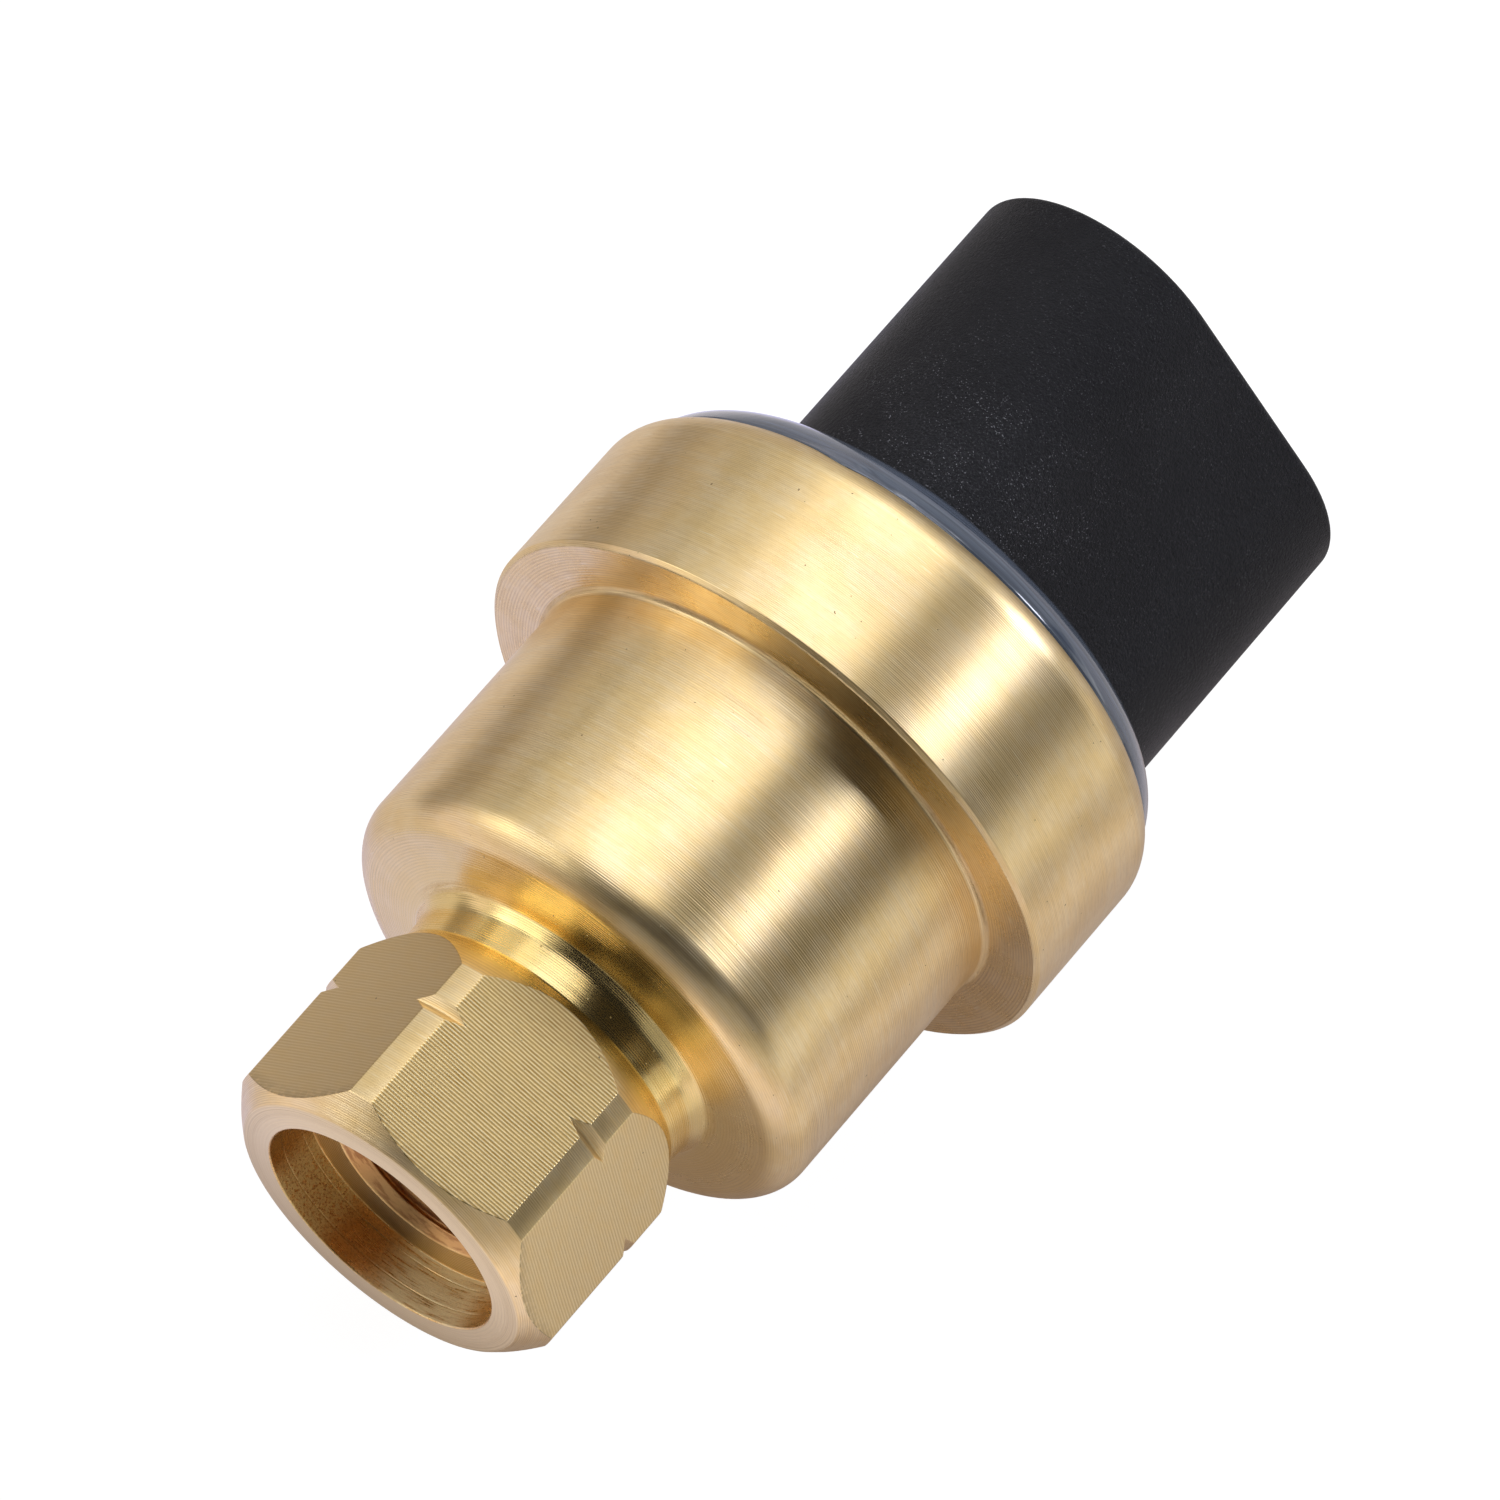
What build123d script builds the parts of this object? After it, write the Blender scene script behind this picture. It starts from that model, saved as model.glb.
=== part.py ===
from build123d import *
import math
import os

# Screw-in refrigerant pressure switch.
# Frame: +Y runs along the switch from the port to the connector, +Z up,
# origin at the centre of the port's end face. One hex flat faces +Z and one
# corner of the connector's rounded triangle points along +X.
# Millimetres throughout.

# ---- brass body: outside --------------------------------------------------
HEX_AF = 17.46          # across flats, 11/16 in
R_CORNER = 9.71         # hex corners turned to this radius
R_END = 8.40            # end face, before the 45 degree chamfer
Y_CHAMFER = 1.33        # chamfer reaches the turned corners here
Y_HEX_REAR = 9.99       # rear cone starts here
R_NECK = 8.43
Y_NECK = 11.90
R_NECK_RIDGE = 9.02
Y_FACE_IN = 14.22       # body front face at the neck
Y_FACE_OUT = 14.64      # body front face at its rounded corner
R_BODY = 13.64
R_FACE_OUT = 11.75
Y_BODY_ROUND = 16.60
Y_FLANGE = 30.35
R_FLANGE = 16.85
FLANGE_BEVEL = 0.24
R_ROOT = 0.35           # small root fillet at the flange
Y_FLANGE_ROUND = 38.55
R_LIP = 15.90
Y_LIP = 40.25
R_LIP_IN = 13.72
Y_LIP_UNDER = 39.05
GROOVE_Y = 7.40         # V groove round the turned hex corners
GROOVE_R = 9.31
GROOVE_HALF = 0.62

# ---- brass body: inside ---------------------------------------------------
R_MOUTH = 6.86
R_CBORE = 6.50
Y_MOUTH = 0.36
Y_CBORE = 3.10
R_CSINK = 5.15
R_THREAD = 4.30         # minor radius of 3/8-24
Y_THREAD_IN = 3.95
Y_THREAD_OUT = 9.50
R_RELIEF = 4.90
Y_RELIEF = 10.60
R_DEP_SEAT = 4.00
Y_DEP_SEAT = 11.70
R_PASSAGE = 1.50
Y_PASSAGE = 13.20
Y_FLOOR = 19.00         # chamber floor
R_GAS = 7.50
GAS_DEPTH = 0.50
GROOVE_SEAL_R0, GROOVE_SEAL_R1, GROOVE_SEAL_D = 8.70, 10.70, 1.40
R_CHAMBER = 11.40
Y_STEP = 31.50
R_CUP = 14.90

# ---- pressure stack -------------------------------------------------------
DIAPHRAGM_T = 0.20
R_DIAPHRAGM = 11.20
R_HOLDER = 11.35
Y_HOLDER0, Y_HOLDER1 = 19.20, 22.00
R_PAD = 6.00
PAD_CLEAR = 0.05
Y_POCKET = 20.90
R_POCKET = 9.70
R_DISC = 9.40
DISC_T = 0.30
Y_DISC_RIM = 21.90      # top of the disc's rim at rest
DISC_DISH = 0.60
Y_GUIDE0, Y_GUIDE1, Y_GUIDE_BOSS = 22.00, 24.20, 25.40
R_PIN = 1.25
PIN_CLEAR = 0.03
TRAVEL = 0.40           # pin travel when the disc snaps

# ---- contacts -------------------------------------------------------------
Y_BLADE = 28.00         # underside of the spring blade
BLADE_T = 0.25
U_PIVOT = -4.60         # blade bends from the edge of the common tab
U_CONTACT = 5.50
R_BUTTON = 1.30
TERM_T = 0.80
Y_CLOSED_TOP = 27.38
Y_OPEN_BOTTOM = 29.88
Y_BASE0, Y_BASE_CEIL, Y_BASE1 = 24.20, 31.60, 35.20
R_SKIRT_OUT, R_SKIRT_IN = 11.30, 9.70
R_BASE = 14.80
PIN_PCR = 4.40          # terminals on this radius, one under each shroud corner
Y_PIN_TIP = 54.50
PIN_W = 1.50

# ---- connector housing ----------------------------------------------------
TRI_IN = 10.60          # axis to each flat of the rounded triangle
TRI_R = 7.68            # corner radius
Y_HOUSE_FLANGE = 39.00
R_COLLAR = 13.55
Y_COLLAR = 41.75
Y_END = 60.27
WALL = 1.80
Y_WEB0, Y_WEB1 = 42.50, 45.00
R_CAVITY0, Y_CAVITY0 = 9.60, 37.60
R_CAVITY1 = 8.60
ORING_Y0, ORING_Y1, ORING_R0 = 36.20, 38.00, 13.00
Y_POT = 39.00

# ---- sealant bead ---------------------------------------------------------
R_CREST, Y_CREST = 14.57, 42.12


def lathe(points):
    """Solid of revolution about Y from a closed outline of (radius, y)."""
    wire = Polyline(*[(r, y) for r, y in points], close=True)
    return revolve(make_face(wire), Axis.Y, 360)


def lathe_edges(edges):
    return revolve(make_face(edges), Axis.Y, 360)


def disc(r, y0, y1, r_in=0.0):
    return lathe([(r_in, y0), (r, y0), (r, y1), (r_in, y1)])


def box(u0, u1, y0, y1, v0, v1):
    return Pos((u0 + u1) / 2, (y0 + y1) / 2, (v0 + v1) / 2) * Box(u1 - u0, y1 - y0, v1 - v0)


def cyl(u, v, r, y0, y1):
    """Cylinder along Y centred on (u, v)."""
    return Pos(u, (y0 + y1) / 2, v) * Rot(-90, 0, 0) * Cylinder(r, y1 - y0)


def rounded_triangle(inradius, corner, y0, y1):
    """Equilateral rounded triangle prism along Y, one corner towards +X."""
    d = 2 * (inradius - corner)
    pts = [(d * math.cos(a), d * math.sin(a)) for a in (0, 2 * math.pi / 3, 4 * math.pi / 3)]
    core = Polyline(*[(x, z) for x, z in pts], close=True)
    face = offset(make_face(core), corner, kind=Kind.ARC)
    solid = extrude(face, y1 - y0)
    # the sketch plane XY becomes XZ, and its normal becomes +Y
    return Pos(0, y0, 0) * Rot(-90, 0, 0) * solid


def turn(shape):
    """Contact frame (u, v) to the switch frame: the blade's root is at u < 0."""
    return Rot(0, 60, 0) * shape


parts = {}

# ---- brass body -----------------------------------------------------------
outer = [
    Line((0, 0), (R_END - 0.12, 0)),
    ThreePointArc((R_END - 0.12, 0), (R_END - 0.02, 0.03), (R_END + 0.06, 0.09)),
    Line((R_END + 0.06, 0.09), (R_CORNER, Y_CHAMFER)),
    Line((R_CORNER, Y_CHAMFER), (R_CORNER, Y_HEX_REAR)),
    Line((R_CORNER, Y_HEX_REAR), (R_NECK + 0.06, Y_NECK)),
    ThreePointArc((R_NECK + 0.06, Y_NECK), (R_NECK + 0.01, Y_NECK + 0.10), (R_NECK, Y_NECK + 0.24)),
    Line((R_NECK, Y_NECK + 0.24), (R_NECK + 0.06, Y_FACE_IN - 0.95)),
    ThreePointArc((R_NECK + 0.06, Y_FACE_IN - 0.95), (R_NECK + 0.20, Y_FACE_IN - 0.40), (R_NECK_RIDGE - 0.05, Y_FACE_IN - 0.02)),
    Line((R_NECK_RIDGE - 0.05, Y_FACE_IN - 0.02), (R_NECK_RIDGE + 0.20, Y_FACE_IN + 0.06)),
    Line((R_NECK_RIDGE + 0.20, Y_FACE_IN + 0.06), (R_FACE_OUT, Y_FACE_OUT)),
    ThreePointArc((R_FACE_OUT, Y_FACE_OUT), (R_BODY - 0.53, Y_FACE_OUT + 0.60), (R_BODY, Y_BODY_ROUND)),
    Line((R_BODY, Y_BODY_ROUND), (R_BODY, Y_FLANGE - R_ROOT)),
    ThreePointArc((R_BODY, Y_FLANGE - R_ROOT), (R_BODY + R_ROOT * 0.293, Y_FLANGE - R_ROOT * 0.293), (R_BODY + R_ROOT, Y_FLANGE)),
    Line((R_BODY + R_ROOT, Y_FLANGE), (R_FLANGE - FLANGE_BEVEL, Y_FLANGE)),
    Line((R_FLANGE - FLANGE_BEVEL, Y_FLANGE), (R_FLANGE, Y_FLANGE + FLANGE_BEVEL)),
    Line((R_FLANGE, Y_FLANGE + FLANGE_BEVEL), (R_FLANGE, Y_FLANGE_ROUND)),
    ThreePointArc((R_FLANGE, Y_FLANGE_ROUND), (R_FLANGE - 0.24, Y_FLANGE_ROUND + 0.98), (R_LIP, Y_LIP)),
    Line((R_LIP, Y_LIP), (0, Y_LIP)),
    Line((0, Y_LIP), (0, 0)),
]
blank = lathe_edges(Curve() + outer)
hexagon = extrude(RegularPolygon(HEX_AF / 2, 6, major_radius=False), 12.0)
hexagon = Rot(-90, 0, 0) * hexagon
# a flat of the hexagon faces +Z
flat_test = hexagon.bounding_box()
if abs(flat_test.size.Z - HEX_AF) > 0.01:
    hexagon = Rot(0, 30, 0) * hexagon
envelope = hexagon + disc(R_FLANGE + 1, 12.0, Y_LIP)
blank = blank & envelope
groove = lathe([(GROOVE_R, GROOVE_Y), (GROOVE_R + 0.62, GROOVE_Y - GROOVE_HALF * 1.1), (GROOVE_R + 0.62, GROOVE_Y + GROOVE_HALF * 1.1)])
cavity = lathe([
    (0, -1), (R_MOUTH + 0.3, -1), (R_MOUTH + 0.001, 0), (R_MOUTH, 0), (R_CBORE, Y_MOUTH), (R_CBORE, Y_CBORE), (R_CSINK, Y_CBORE),
    (R_THREAD, Y_THREAD_IN), (R_THREAD, Y_THREAD_OUT), (R_RELIEF, Y_THREAD_OUT + 0.25), (R_RELIEF, Y_RELIEF),
    (R_DEP_SEAT, Y_RELIEF), (R_DEP_SEAT, Y_DEP_SEAT), (3.2, Y_DEP_SEAT), (R_PASSAGE, Y_PASSAGE),
    (R_PASSAGE, Y_FLOOR - GAS_DEPTH), (R_GAS, Y_FLOOR - GAS_DEPTH), (R_GAS, Y_FLOOR),
    (GROOVE_SEAL_R0, Y_FLOOR), (GROOVE_SEAL_R0, Y_FLOOR - GROOVE_SEAL_D), (GROOVE_SEAL_R1, Y_FLOOR - GROOVE_SEAL_D), (GROOVE_SEAL_R1, Y_FLOOR),
    (R_CHAMBER, Y_FLOOR), (R_CHAMBER, Y_STEP), (R_CUP, Y_STEP), (R_CUP, Y_LIP_UNDER), (R_LIP_IN, Y_LIP_UNDER), (R_LIP_IN, Y_LIP + 1), (0, Y_LIP + 1),
])
parts["brass_body"] = blank - groove - cavity

# ---- valve depressor ------------------------------------------------------
dep = disc(R_DEP_SEAT, 10.90, 11.70) + disc(0.90, 9.75, 10.90)
for k in range(3):
    a = math.radians(120 * k + 30)
    dep -= cyl(2.4 * math.cos(a), 2.4 * math.sin(a), 0.90, 10.5, 12.0)
parts["valve_depressor"] = dep

# ---- diaphragm and its seal -----------------------------------------------
s0, s1 = GROOVE_SEAL_R0 + 0.03, GROOVE_SEAL_R1 - 0.03
yb, yt = Y_FLOOR - GROOVE_SEAL_D, Y_FLOOR
seal = make_face(Polyline((s0, yb), (s1, yb), (s1, yt), (s0, yt), close=True))
seal = fillet(seal.vertices(), 0.45)
parts["diaphragm_seal"] = revolve(seal, Axis.Y, 360)
parts["diaphragm"] = disc(R_DIAPHRAGM, Y_FLOOR, Y_FLOOR + DIAPHRAGM_T)

# ---- disc holder, pad, snap disc ------------------------------------------
parts["disc_holder"] = lathe([
    (R_PAD + PAD_CLEAR, Y_HOLDER0), (R_HOLDER, Y_HOLDER0), (R_HOLDER, Y_HOLDER1), (R_POCKET, Y_HOLDER1),
    (R_POCKET, Y_POCKET), (R_PAD + PAD_CLEAR, Y_POCKET),
])
y_disc_low = Y_DISC_RIM - DISC_T - DISC_DISH      # underside of the disc's centre
parts["pressure_pad"] = lathe([
    (0, Y_HOLDER0), (R_PAD - 0.3, Y_HOLDER0), (R_PAD, Y_HOLDER0 + 0.3), (R_PAD, 20.30), (R_PAD - 0.5, 20.55), (2.2, 20.55), (1.6, y_disc_low - 0.005), (0, y_disc_low - 0.005),
])
# spherical cap, centre towards the port at rest
sag = DISC_DISH
rad = (R_DISC ** 2 + sag ** 2) / (2 * sag)
mid = R_DISC / 2
mid_y = rad - math.sqrt(rad ** 2 - mid ** 2)
cap = [
    ThreePointArc((0, y_disc_low), (mid, y_disc_low + mid_y), (R_DISC, y_disc_low + sag)),
    Line((R_DISC, y_disc_low + sag), (R_DISC, y_disc_low + sag + DISC_T)),
    ThreePointArc((R_DISC, y_disc_low + sag + DISC_T), (mid, y_disc_low + mid_y + DISC_T), (0, y_disc_low + DISC_T)),
    Line((0, y_disc_low + DISC_T), (0, y_disc_low)),
]
parts["snap_disc"] = lathe_edges(Curve() + cap)

# ---- pin guide and pin ----------------------------------------------------
g = PIN_CLEAR + R_PIN
parts["pin_guide"] = lathe([
    (g, 22.70), (8.70, 22.70), (8.85, Y_DISC_RIM + 0.01), (9.30, Y_DISC_RIM + 0.01), (9.45, Y_GUIDE0), (R_HOLDER - 0.05, Y_GUIDE0),
    (R_HOLDER - 0.05, Y_GUIDE1), (3.2, Y_GUIDE1), (2.7, Y_GUIDE_BOSS), (g, Y_GUIDE_BOSS),
])
y_pin0 = y_disc_low + DISC_T + 0.01
parts["transfer_pin"] = lathe([
    (0, y_pin0), (R_PIN - 0.45, y_pin0), (R_PIN, y_pin0 + 0.45), (R_PIN, Y_BLADE - 0.40), (R_PIN - 0.40, Y_BLADE - 0.01), (0, Y_BLADE - 0.01),
])

# ---- contacts, in the blade's own frame (u along the blade, v across) -----
blade_top = Y_BLADE + BLADE_T
plan = make_face(Polyline((-8.1, -2.0), (-1.5, -2.0), (2.5, -1.5), (6.9, -1.5), (7.2, -1.1), (7.2, 1.1), (6.9, 1.5), (2.5, 1.5), (-1.5, 2.0), (-8.1, 2.0), close=True))
blade = Pos(0, Y_BLADE, 0) * Rot(-90, 0, 0) * extrude(plan, BLADE_T)
blade -= cyl(U_CONTACT, 0, 0.60, Y_BLADE - 1, blade_top + 1)
blade -= cyl(-6.4, 0, 0.75, Y_BLADE - 1, blade_top + 1)
parts["moving_blade"] = turn(blade)

button = cyl(U_CONTACT, 0, R_BUTTON, Y_BLADE - 0.60, Y_BLADE) + cyl(U_CONTACT, 0, 0.60, Y_BLADE - 0.1, blade_top + 0.1) + cyl(U_CONTACT, 0, R_BUTTON, blade_top, blade_top + 0.60)
parts["moving_contact"] = turn(button)

rivet = cyl(-6.4, 0, 1.30, Y_BLADE - 0.55, Y_BLADE) + cyl(-6.4, 0, 0.75, Y_BLADE - 0.1, blade_top + TERM_T + 0.1) + cyl(-6.4, 0, 1.30, blade_top + TERM_T, blade_top + TERM_T + 0.55)
parts["blade_rivet"] = turn(rivet)

Y_JOG0, Y_JOG1 = 35.80, 36.60
pin_pos = [(-PIN_PCR, 0.0), (PIN_PCR * math.cos(math.radians(60)), PIN_PCR * math.sin(math.radians(60)))]


def pin_blade(u, v):
    """Flat contact pin, wide across v, with a chisel tip."""
    b = box(u - TERM_T / 2, u + TERM_T / 2, Y_JOG0, Y_PIN_TIP, v - PIN_W / 2, v + PIN_W / 2)
    top = b.edges().filter_by(Axis.Z).sort_by(Axis.Y)[-2:]
    return chamfer(top, 0.28)


# common: tab over the blade's root, riser, jog to the pin
common = box(-8.6, U_PIVOT, blade_top, blade_top + TERM_T, -1.2, 1.2)
common -= cyl(-6.4, 0, 0.75, blade_top - 1, blade_top + TERM_T + 1)
common += box(-8.6, -7.8, blade_top, Y_JOG1, -1.2, 1.2)
common += box(-8.6, -PIN_PCR + TERM_T / 2, Y_JOG0, Y_JOG1, -1.2, 1.2)
common += pin_blade(-PIN_PCR, 0)
parts["common_terminal"] = turn(common)


def side_terminal(y_strip, side):
    """Fixed-contact terminal: strip across the blade's tip, riser at the side, jog to the pin."""
    pu, pv = pin_pos[1][0], side * pin_pos[1][1]
    lo, hi = (-1.7, 6.0) if side > 0 else (-6.0, 1.7)
    t = box(3.4, 6.8, y_strip, y_strip + TERM_T, lo, hi)
    t -= cyl(U_CONTACT, 0, 0.60, y_strip - 1, y_strip + TERM_T + 1)
    r0, r1 = (5.2, 6.0) if side > 0 else (-6.0, -5.2)
    t += box(3.4, 5.8, y_strip, Y_JOG1, r0, r1)
    j0, j1 = (pv - PIN_W / 2, 6.0) if side > 0 else (-6.0, pv + PIN_W / 2)
    t += box(pu - TERM_T / 2, 5.8, Y_JOG0, Y_JOG1, j0, j1)
    t += pin_blade(pu, pv)
    return t


y_closed_strip = Y_CLOSED_TOP - 0.50 - TERM_T
y_open_strip = Y_OPEN_BOTTOM + 0.50
parts["closed_terminal"] = turn(side_terminal(y_closed_strip, -1))
parts["open_terminal"] = turn(side_terminal(y_open_strip, +1))
parts["closed_contact"] = turn(cyl(U_CONTACT, 0, R_BUTTON, Y_CLOSED_TOP - 0.50, Y_CLOSED_TOP) + cyl(U_CONTACT, 0, 0.60, y_closed_strip - 0.15, Y_CLOSED_TOP - 0.4))
parts["open_contact"] = turn(cyl(U_CONTACT, 0, R_BUTTON, Y_OPEN_BOTTOM, Y_OPEN_BOTTOM + 0.50) + cyl(U_CONTACT, 0, 0.60, Y_OPEN_BOTTOM + 0.4, y_open_strip + TERM_T + 0.15))

# ---- contact base ---------------------------------------------------------
base = lathe([
    (R_SKIRT_IN, Y_BASE0), (R_SKIRT_OUT, Y_BASE0), (R_SKIRT_OUT, Y_BASE_CEIL), (R_BASE, Y_BASE_CEIL), (R_BASE, Y_BASE1), (0, Y_BASE1), (0, Y_BASE_CEIL), (R_SKIRT_IN, Y_BASE_CEIL),
])
slots = box(-8.6, -7.8, 30, 37, -1.2, 1.2) + box(3.4, 5.8, 30, 37, 5.2, 6.0) + box(3.4, 5.8, 30, 37, -6.0, -5.2)
parts["contact_base"] = base - turn(slots)

# ---- connector housing ----------------------------------------------------
house = disc(R_BASE, Y_BASE1, Y_HOUSE_FLANGE) + disc(R_COLLAR, Y_HOUSE_FLANGE - 0.5, Y_COLLAR)
house += rounded_triangle(TRI_IN, TRI_R, Y_COLLAR - 1.0, Y_END)
rim = house.edges().filter_by(lambda e: abs(e.center().Y - Y_END) < 1e-3)
house = fillet(rim, 0.45)
house -= rounded_triangle(TRI_IN - WALL, TRI_R - WALL, Y_WEB1, Y_END + 1)
house -= disc(R_CAVITY0, Y_BASE1 - 1, Y_CAVITY0)
house -= disc(R_CAVITY1, Y_CAVITY0 - 1, Y_WEB0)
house -= disc(R_BASE + 1, ORING_Y0, ORING_Y1, ORING_R0)
pins_cut = Part()
for u, v in ((-PIN_PCR, 0.0), pin_pos[1], (pin_pos[1][0], -pin_pos[1][1])):
    pins_cut += box(u - TERM_T / 2, u + TERM_T / 2, Y_WEB0 - 1, Y_WEB1 + 1, v - PIN_W / 2, v + PIN_W / 2)
house -= turn(pins_cut)
# latch ramp for the mating plug, on the flat that faces down and to the right
ramp = make_face(Polyline((TRI_IN - 0.3, 49.5), (TRI_IN - 0.3, 54.6), (TRI_IN + 0.1, 54.6), (TRI_IN + 1.3, 51.2), (TRI_IN + 1.3, 49.5), close=True))
ramp = Pos(0, 0, -2.6) * extrude(ramp, 5.2)
house += Rot(0, 60, 0) * ramp
# two keying ribs inside the shroud, on the flat that faces -X
for z in (-2.6, 2.6):
    house += box(-(TRI_IN - WALL) - 0.2, -(TRI_IN - WALL) + 0.7, Y_WEB1 - 0.2, Y_END - 1.2, z - 0.5, z + 0.5)
parts["connector_housing"] = house

# ---- potting, o-ring, sealant ---------------------------------------------
pot = disc(R_CAVITY1, Y_POT, Y_WEB0)
pot_cut = Part()
for u, v in ((-PIN_PCR, 0.0), pin_pos[1], (pin_pos[1][0], -pin_pos[1][1])):
    pot_cut += box(u - TERM_T / 2, u + TERM_T / 2, Y_POT - 1, Y_WEB0 + 1, v - PIN_W / 2, v + PIN_W / 2)
parts["terminal_potting"] = pot - turn(pot_cut)

oring = make_face(Polyline((ORING_R0, ORING_Y0 + 0.05), (R_CUP, ORING_Y0 + 0.05), (R_CUP, ORING_Y1 - 0.05), (ORING_R0, ORING_Y1 - 0.05), close=True))
oring = fillet(oring.vertices(), 0.60)
parts["housing_o_ring"] = revolve(oring, Axis.Y, 360)

bead = [
    Line((R_COLLAR, Y_LIP), (R_LIP, Y_LIP)),
    ThreePointArc((R_LIP, Y_LIP), (15.42, 41.40), (R_CREST, Y_CREST)),
    ThreePointArc((R_CREST, Y_CREST), (14.0, 42.06), (R_COLLAR, Y_COLLAR)),
    Line((R_COLLAR, Y_COLLAR), (R_COLLAR, Y_LIP)),
]
parts["sealant_bead"] = lathe_edges(Curve() + bead)

os.makedirs("parts", exist_ok=True)
for name, shape in parts.items():
    solids = shape.solids()
    shape = solids[0] if len(solids) == 1 else Compound(children=list(solids))
    shape.label = name
    export_step(shape, f"parts/{name}.step")
    bb = shape.bounding_box()
    print(f"{name:20s} solids {len(solids)} vol {shape.volume:9.2f} min {bb.min.X:.2f} {bb.min.Y:.2f} {bb.min.Z:.2f} max {bb.max.X:.2f} {bb.max.Y:.2f} {bb.max.Z:.2f}")
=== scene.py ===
import math

import bmesh
import bpy
import numpy as np
from mathutils import Matrix, Vector


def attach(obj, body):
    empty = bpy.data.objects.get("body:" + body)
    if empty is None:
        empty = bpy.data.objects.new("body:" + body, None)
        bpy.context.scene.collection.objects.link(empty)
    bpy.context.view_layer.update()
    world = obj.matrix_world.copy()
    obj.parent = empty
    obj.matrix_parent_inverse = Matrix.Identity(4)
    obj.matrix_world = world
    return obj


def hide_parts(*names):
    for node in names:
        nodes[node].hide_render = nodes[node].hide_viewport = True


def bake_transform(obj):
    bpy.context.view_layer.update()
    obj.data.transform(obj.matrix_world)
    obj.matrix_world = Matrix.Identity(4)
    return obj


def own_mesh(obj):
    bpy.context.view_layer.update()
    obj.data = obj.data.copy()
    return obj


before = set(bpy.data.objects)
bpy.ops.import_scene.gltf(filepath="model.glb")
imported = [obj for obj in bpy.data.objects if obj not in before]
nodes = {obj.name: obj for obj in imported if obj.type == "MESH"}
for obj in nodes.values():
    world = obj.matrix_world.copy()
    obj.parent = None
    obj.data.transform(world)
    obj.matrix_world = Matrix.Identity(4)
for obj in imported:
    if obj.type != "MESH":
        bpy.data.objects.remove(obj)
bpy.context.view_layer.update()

MM = 0.001


# ---------------------------------------------------------------------------
# mesh helpers
# ---------------------------------------------------------------------------
def arc3(p0, pm, p1, n):
    """n points after p0 along the circle through three points."""
    (ax, ay), (bx, by), (cx, cy) = p0, pm, p1
    d = 2 * (ax * (by - cy) + bx * (cy - ay) + cx * (ay - by))
    ux = ((ax * ax + ay * ay) * (by - cy) + (bx * bx + by * by) * (cy - ay) + (cx * cx + cy * cy) * (ay - by)) / d
    uy = ((ax * ax + ay * ay) * (cx - bx) + (bx * bx + by * by) * (ax - cx) + (cx * cx + cy * cy) * (bx - ax)) / d
    rad = math.hypot(ax - ux, ay - uy)
    a0, am, a1 = (math.atan2(y - uy, x - ux) for x, y in (p0, pm, p1))
    two = 2 * math.pi
    span = (a1 - a0) % two
    if (am - a0) % two > span:
        span -= two
    return [(ux + rad * math.cos(a0 + span * k / n), uy + rad * math.sin(a0 + span * k / n)) for k in range(1, n + 1)]


def soften(points, n=3):
    """Polyline of (r, y, fillet) with its corners rounded."""
    out = []
    for i, (r, y, f) in enumerate(points):
        if f <= 0 or i in (0, len(points) - 1):
            out.append((r, y))
            continue
        p, a, b = np.array([r, y]), np.array(points[i - 1][:2]), np.array(points[i + 1][:2])
        u, v = (a - p) / np.linalg.norm(a - p), (b - p) / np.linalg.norm(b - p)
        half = math.acos(max(-1, min(1, float(u @ v)))) / 2
        t = min(f / math.tan(half), 0.45 * np.linalg.norm(a - p), 0.45 * np.linalg.norm(b - p))
        p0, p1 = p + u * t, p + v * t
        bis = (u + v) / np.linalg.norm(u + v)
        rad = t * math.tan(half)
        mid = p + bis * (rad / math.sin(half) - rad)
        out.append(tuple(p0))
        out += arc3(tuple(p0), tuple(mid), tuple(p1), n)
    return out


def mesh_object(name, co, faces, mats, face_mat=None, marks=None, body="switch_body"):
    """Smooth mesh with face-area-weighted normals, so that broad faces stay flat and small roundings turn the light."""
    me = bpy.data.meshes.new(name)
    me.from_pydata([tuple(c) for c in co], [], faces)
    for m in mats:
        me.materials.append(m)
    if face_mat is not None:
        me.polygons.foreach_set("material_index", np.asarray(face_mat, np.int32))
    me.polygons.foreach_set("use_smooth", np.ones(len(me.polygons), bool))
    me.update()
    n_v, n_l = len(me.vertices), len(me.loops)
    lv = np.zeros(n_l, np.int32)
    me.loops.foreach_get("vertex_index", lv)
    area = np.zeros(len(me.polygons), np.float32)
    me.polygons.foreach_get("area", area)
    nrm = np.zeros(len(me.polygons) * 3, np.float32)
    me.polygons.foreach_get("normal", nrm)
    nrm = nrm.reshape(-1, 3).astype(float) * area[:, None].astype(float) * 1e6
    total = np.zeros(len(me.polygons), np.int32)
    me.polygons.foreach_get("loop_total", total)
    lp = np.repeat(np.arange(len(me.polygons)), total)
    vn = np.zeros((n_v, 3))
    np.add.at(vn, lv, nrm[lp])
    length = np.linalg.norm(vn, axis=1)
    length[length == 0] = 1
    vn /= length[:, None]
    me.normals_split_custom_set_from_vertices([tuple(v) for v in vn])
    for mark, values in (marks or {}).items():
        at = me.attributes.new(mark, "FLOAT", "POINT")
        at.data.foreach_set("value", np.asarray(values, np.float32))
    ob = bpy.data.objects.new(name, me)
    bpy.context.scene.collection.objects.link(ob)
    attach(ob, body)
    return ob


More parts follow.
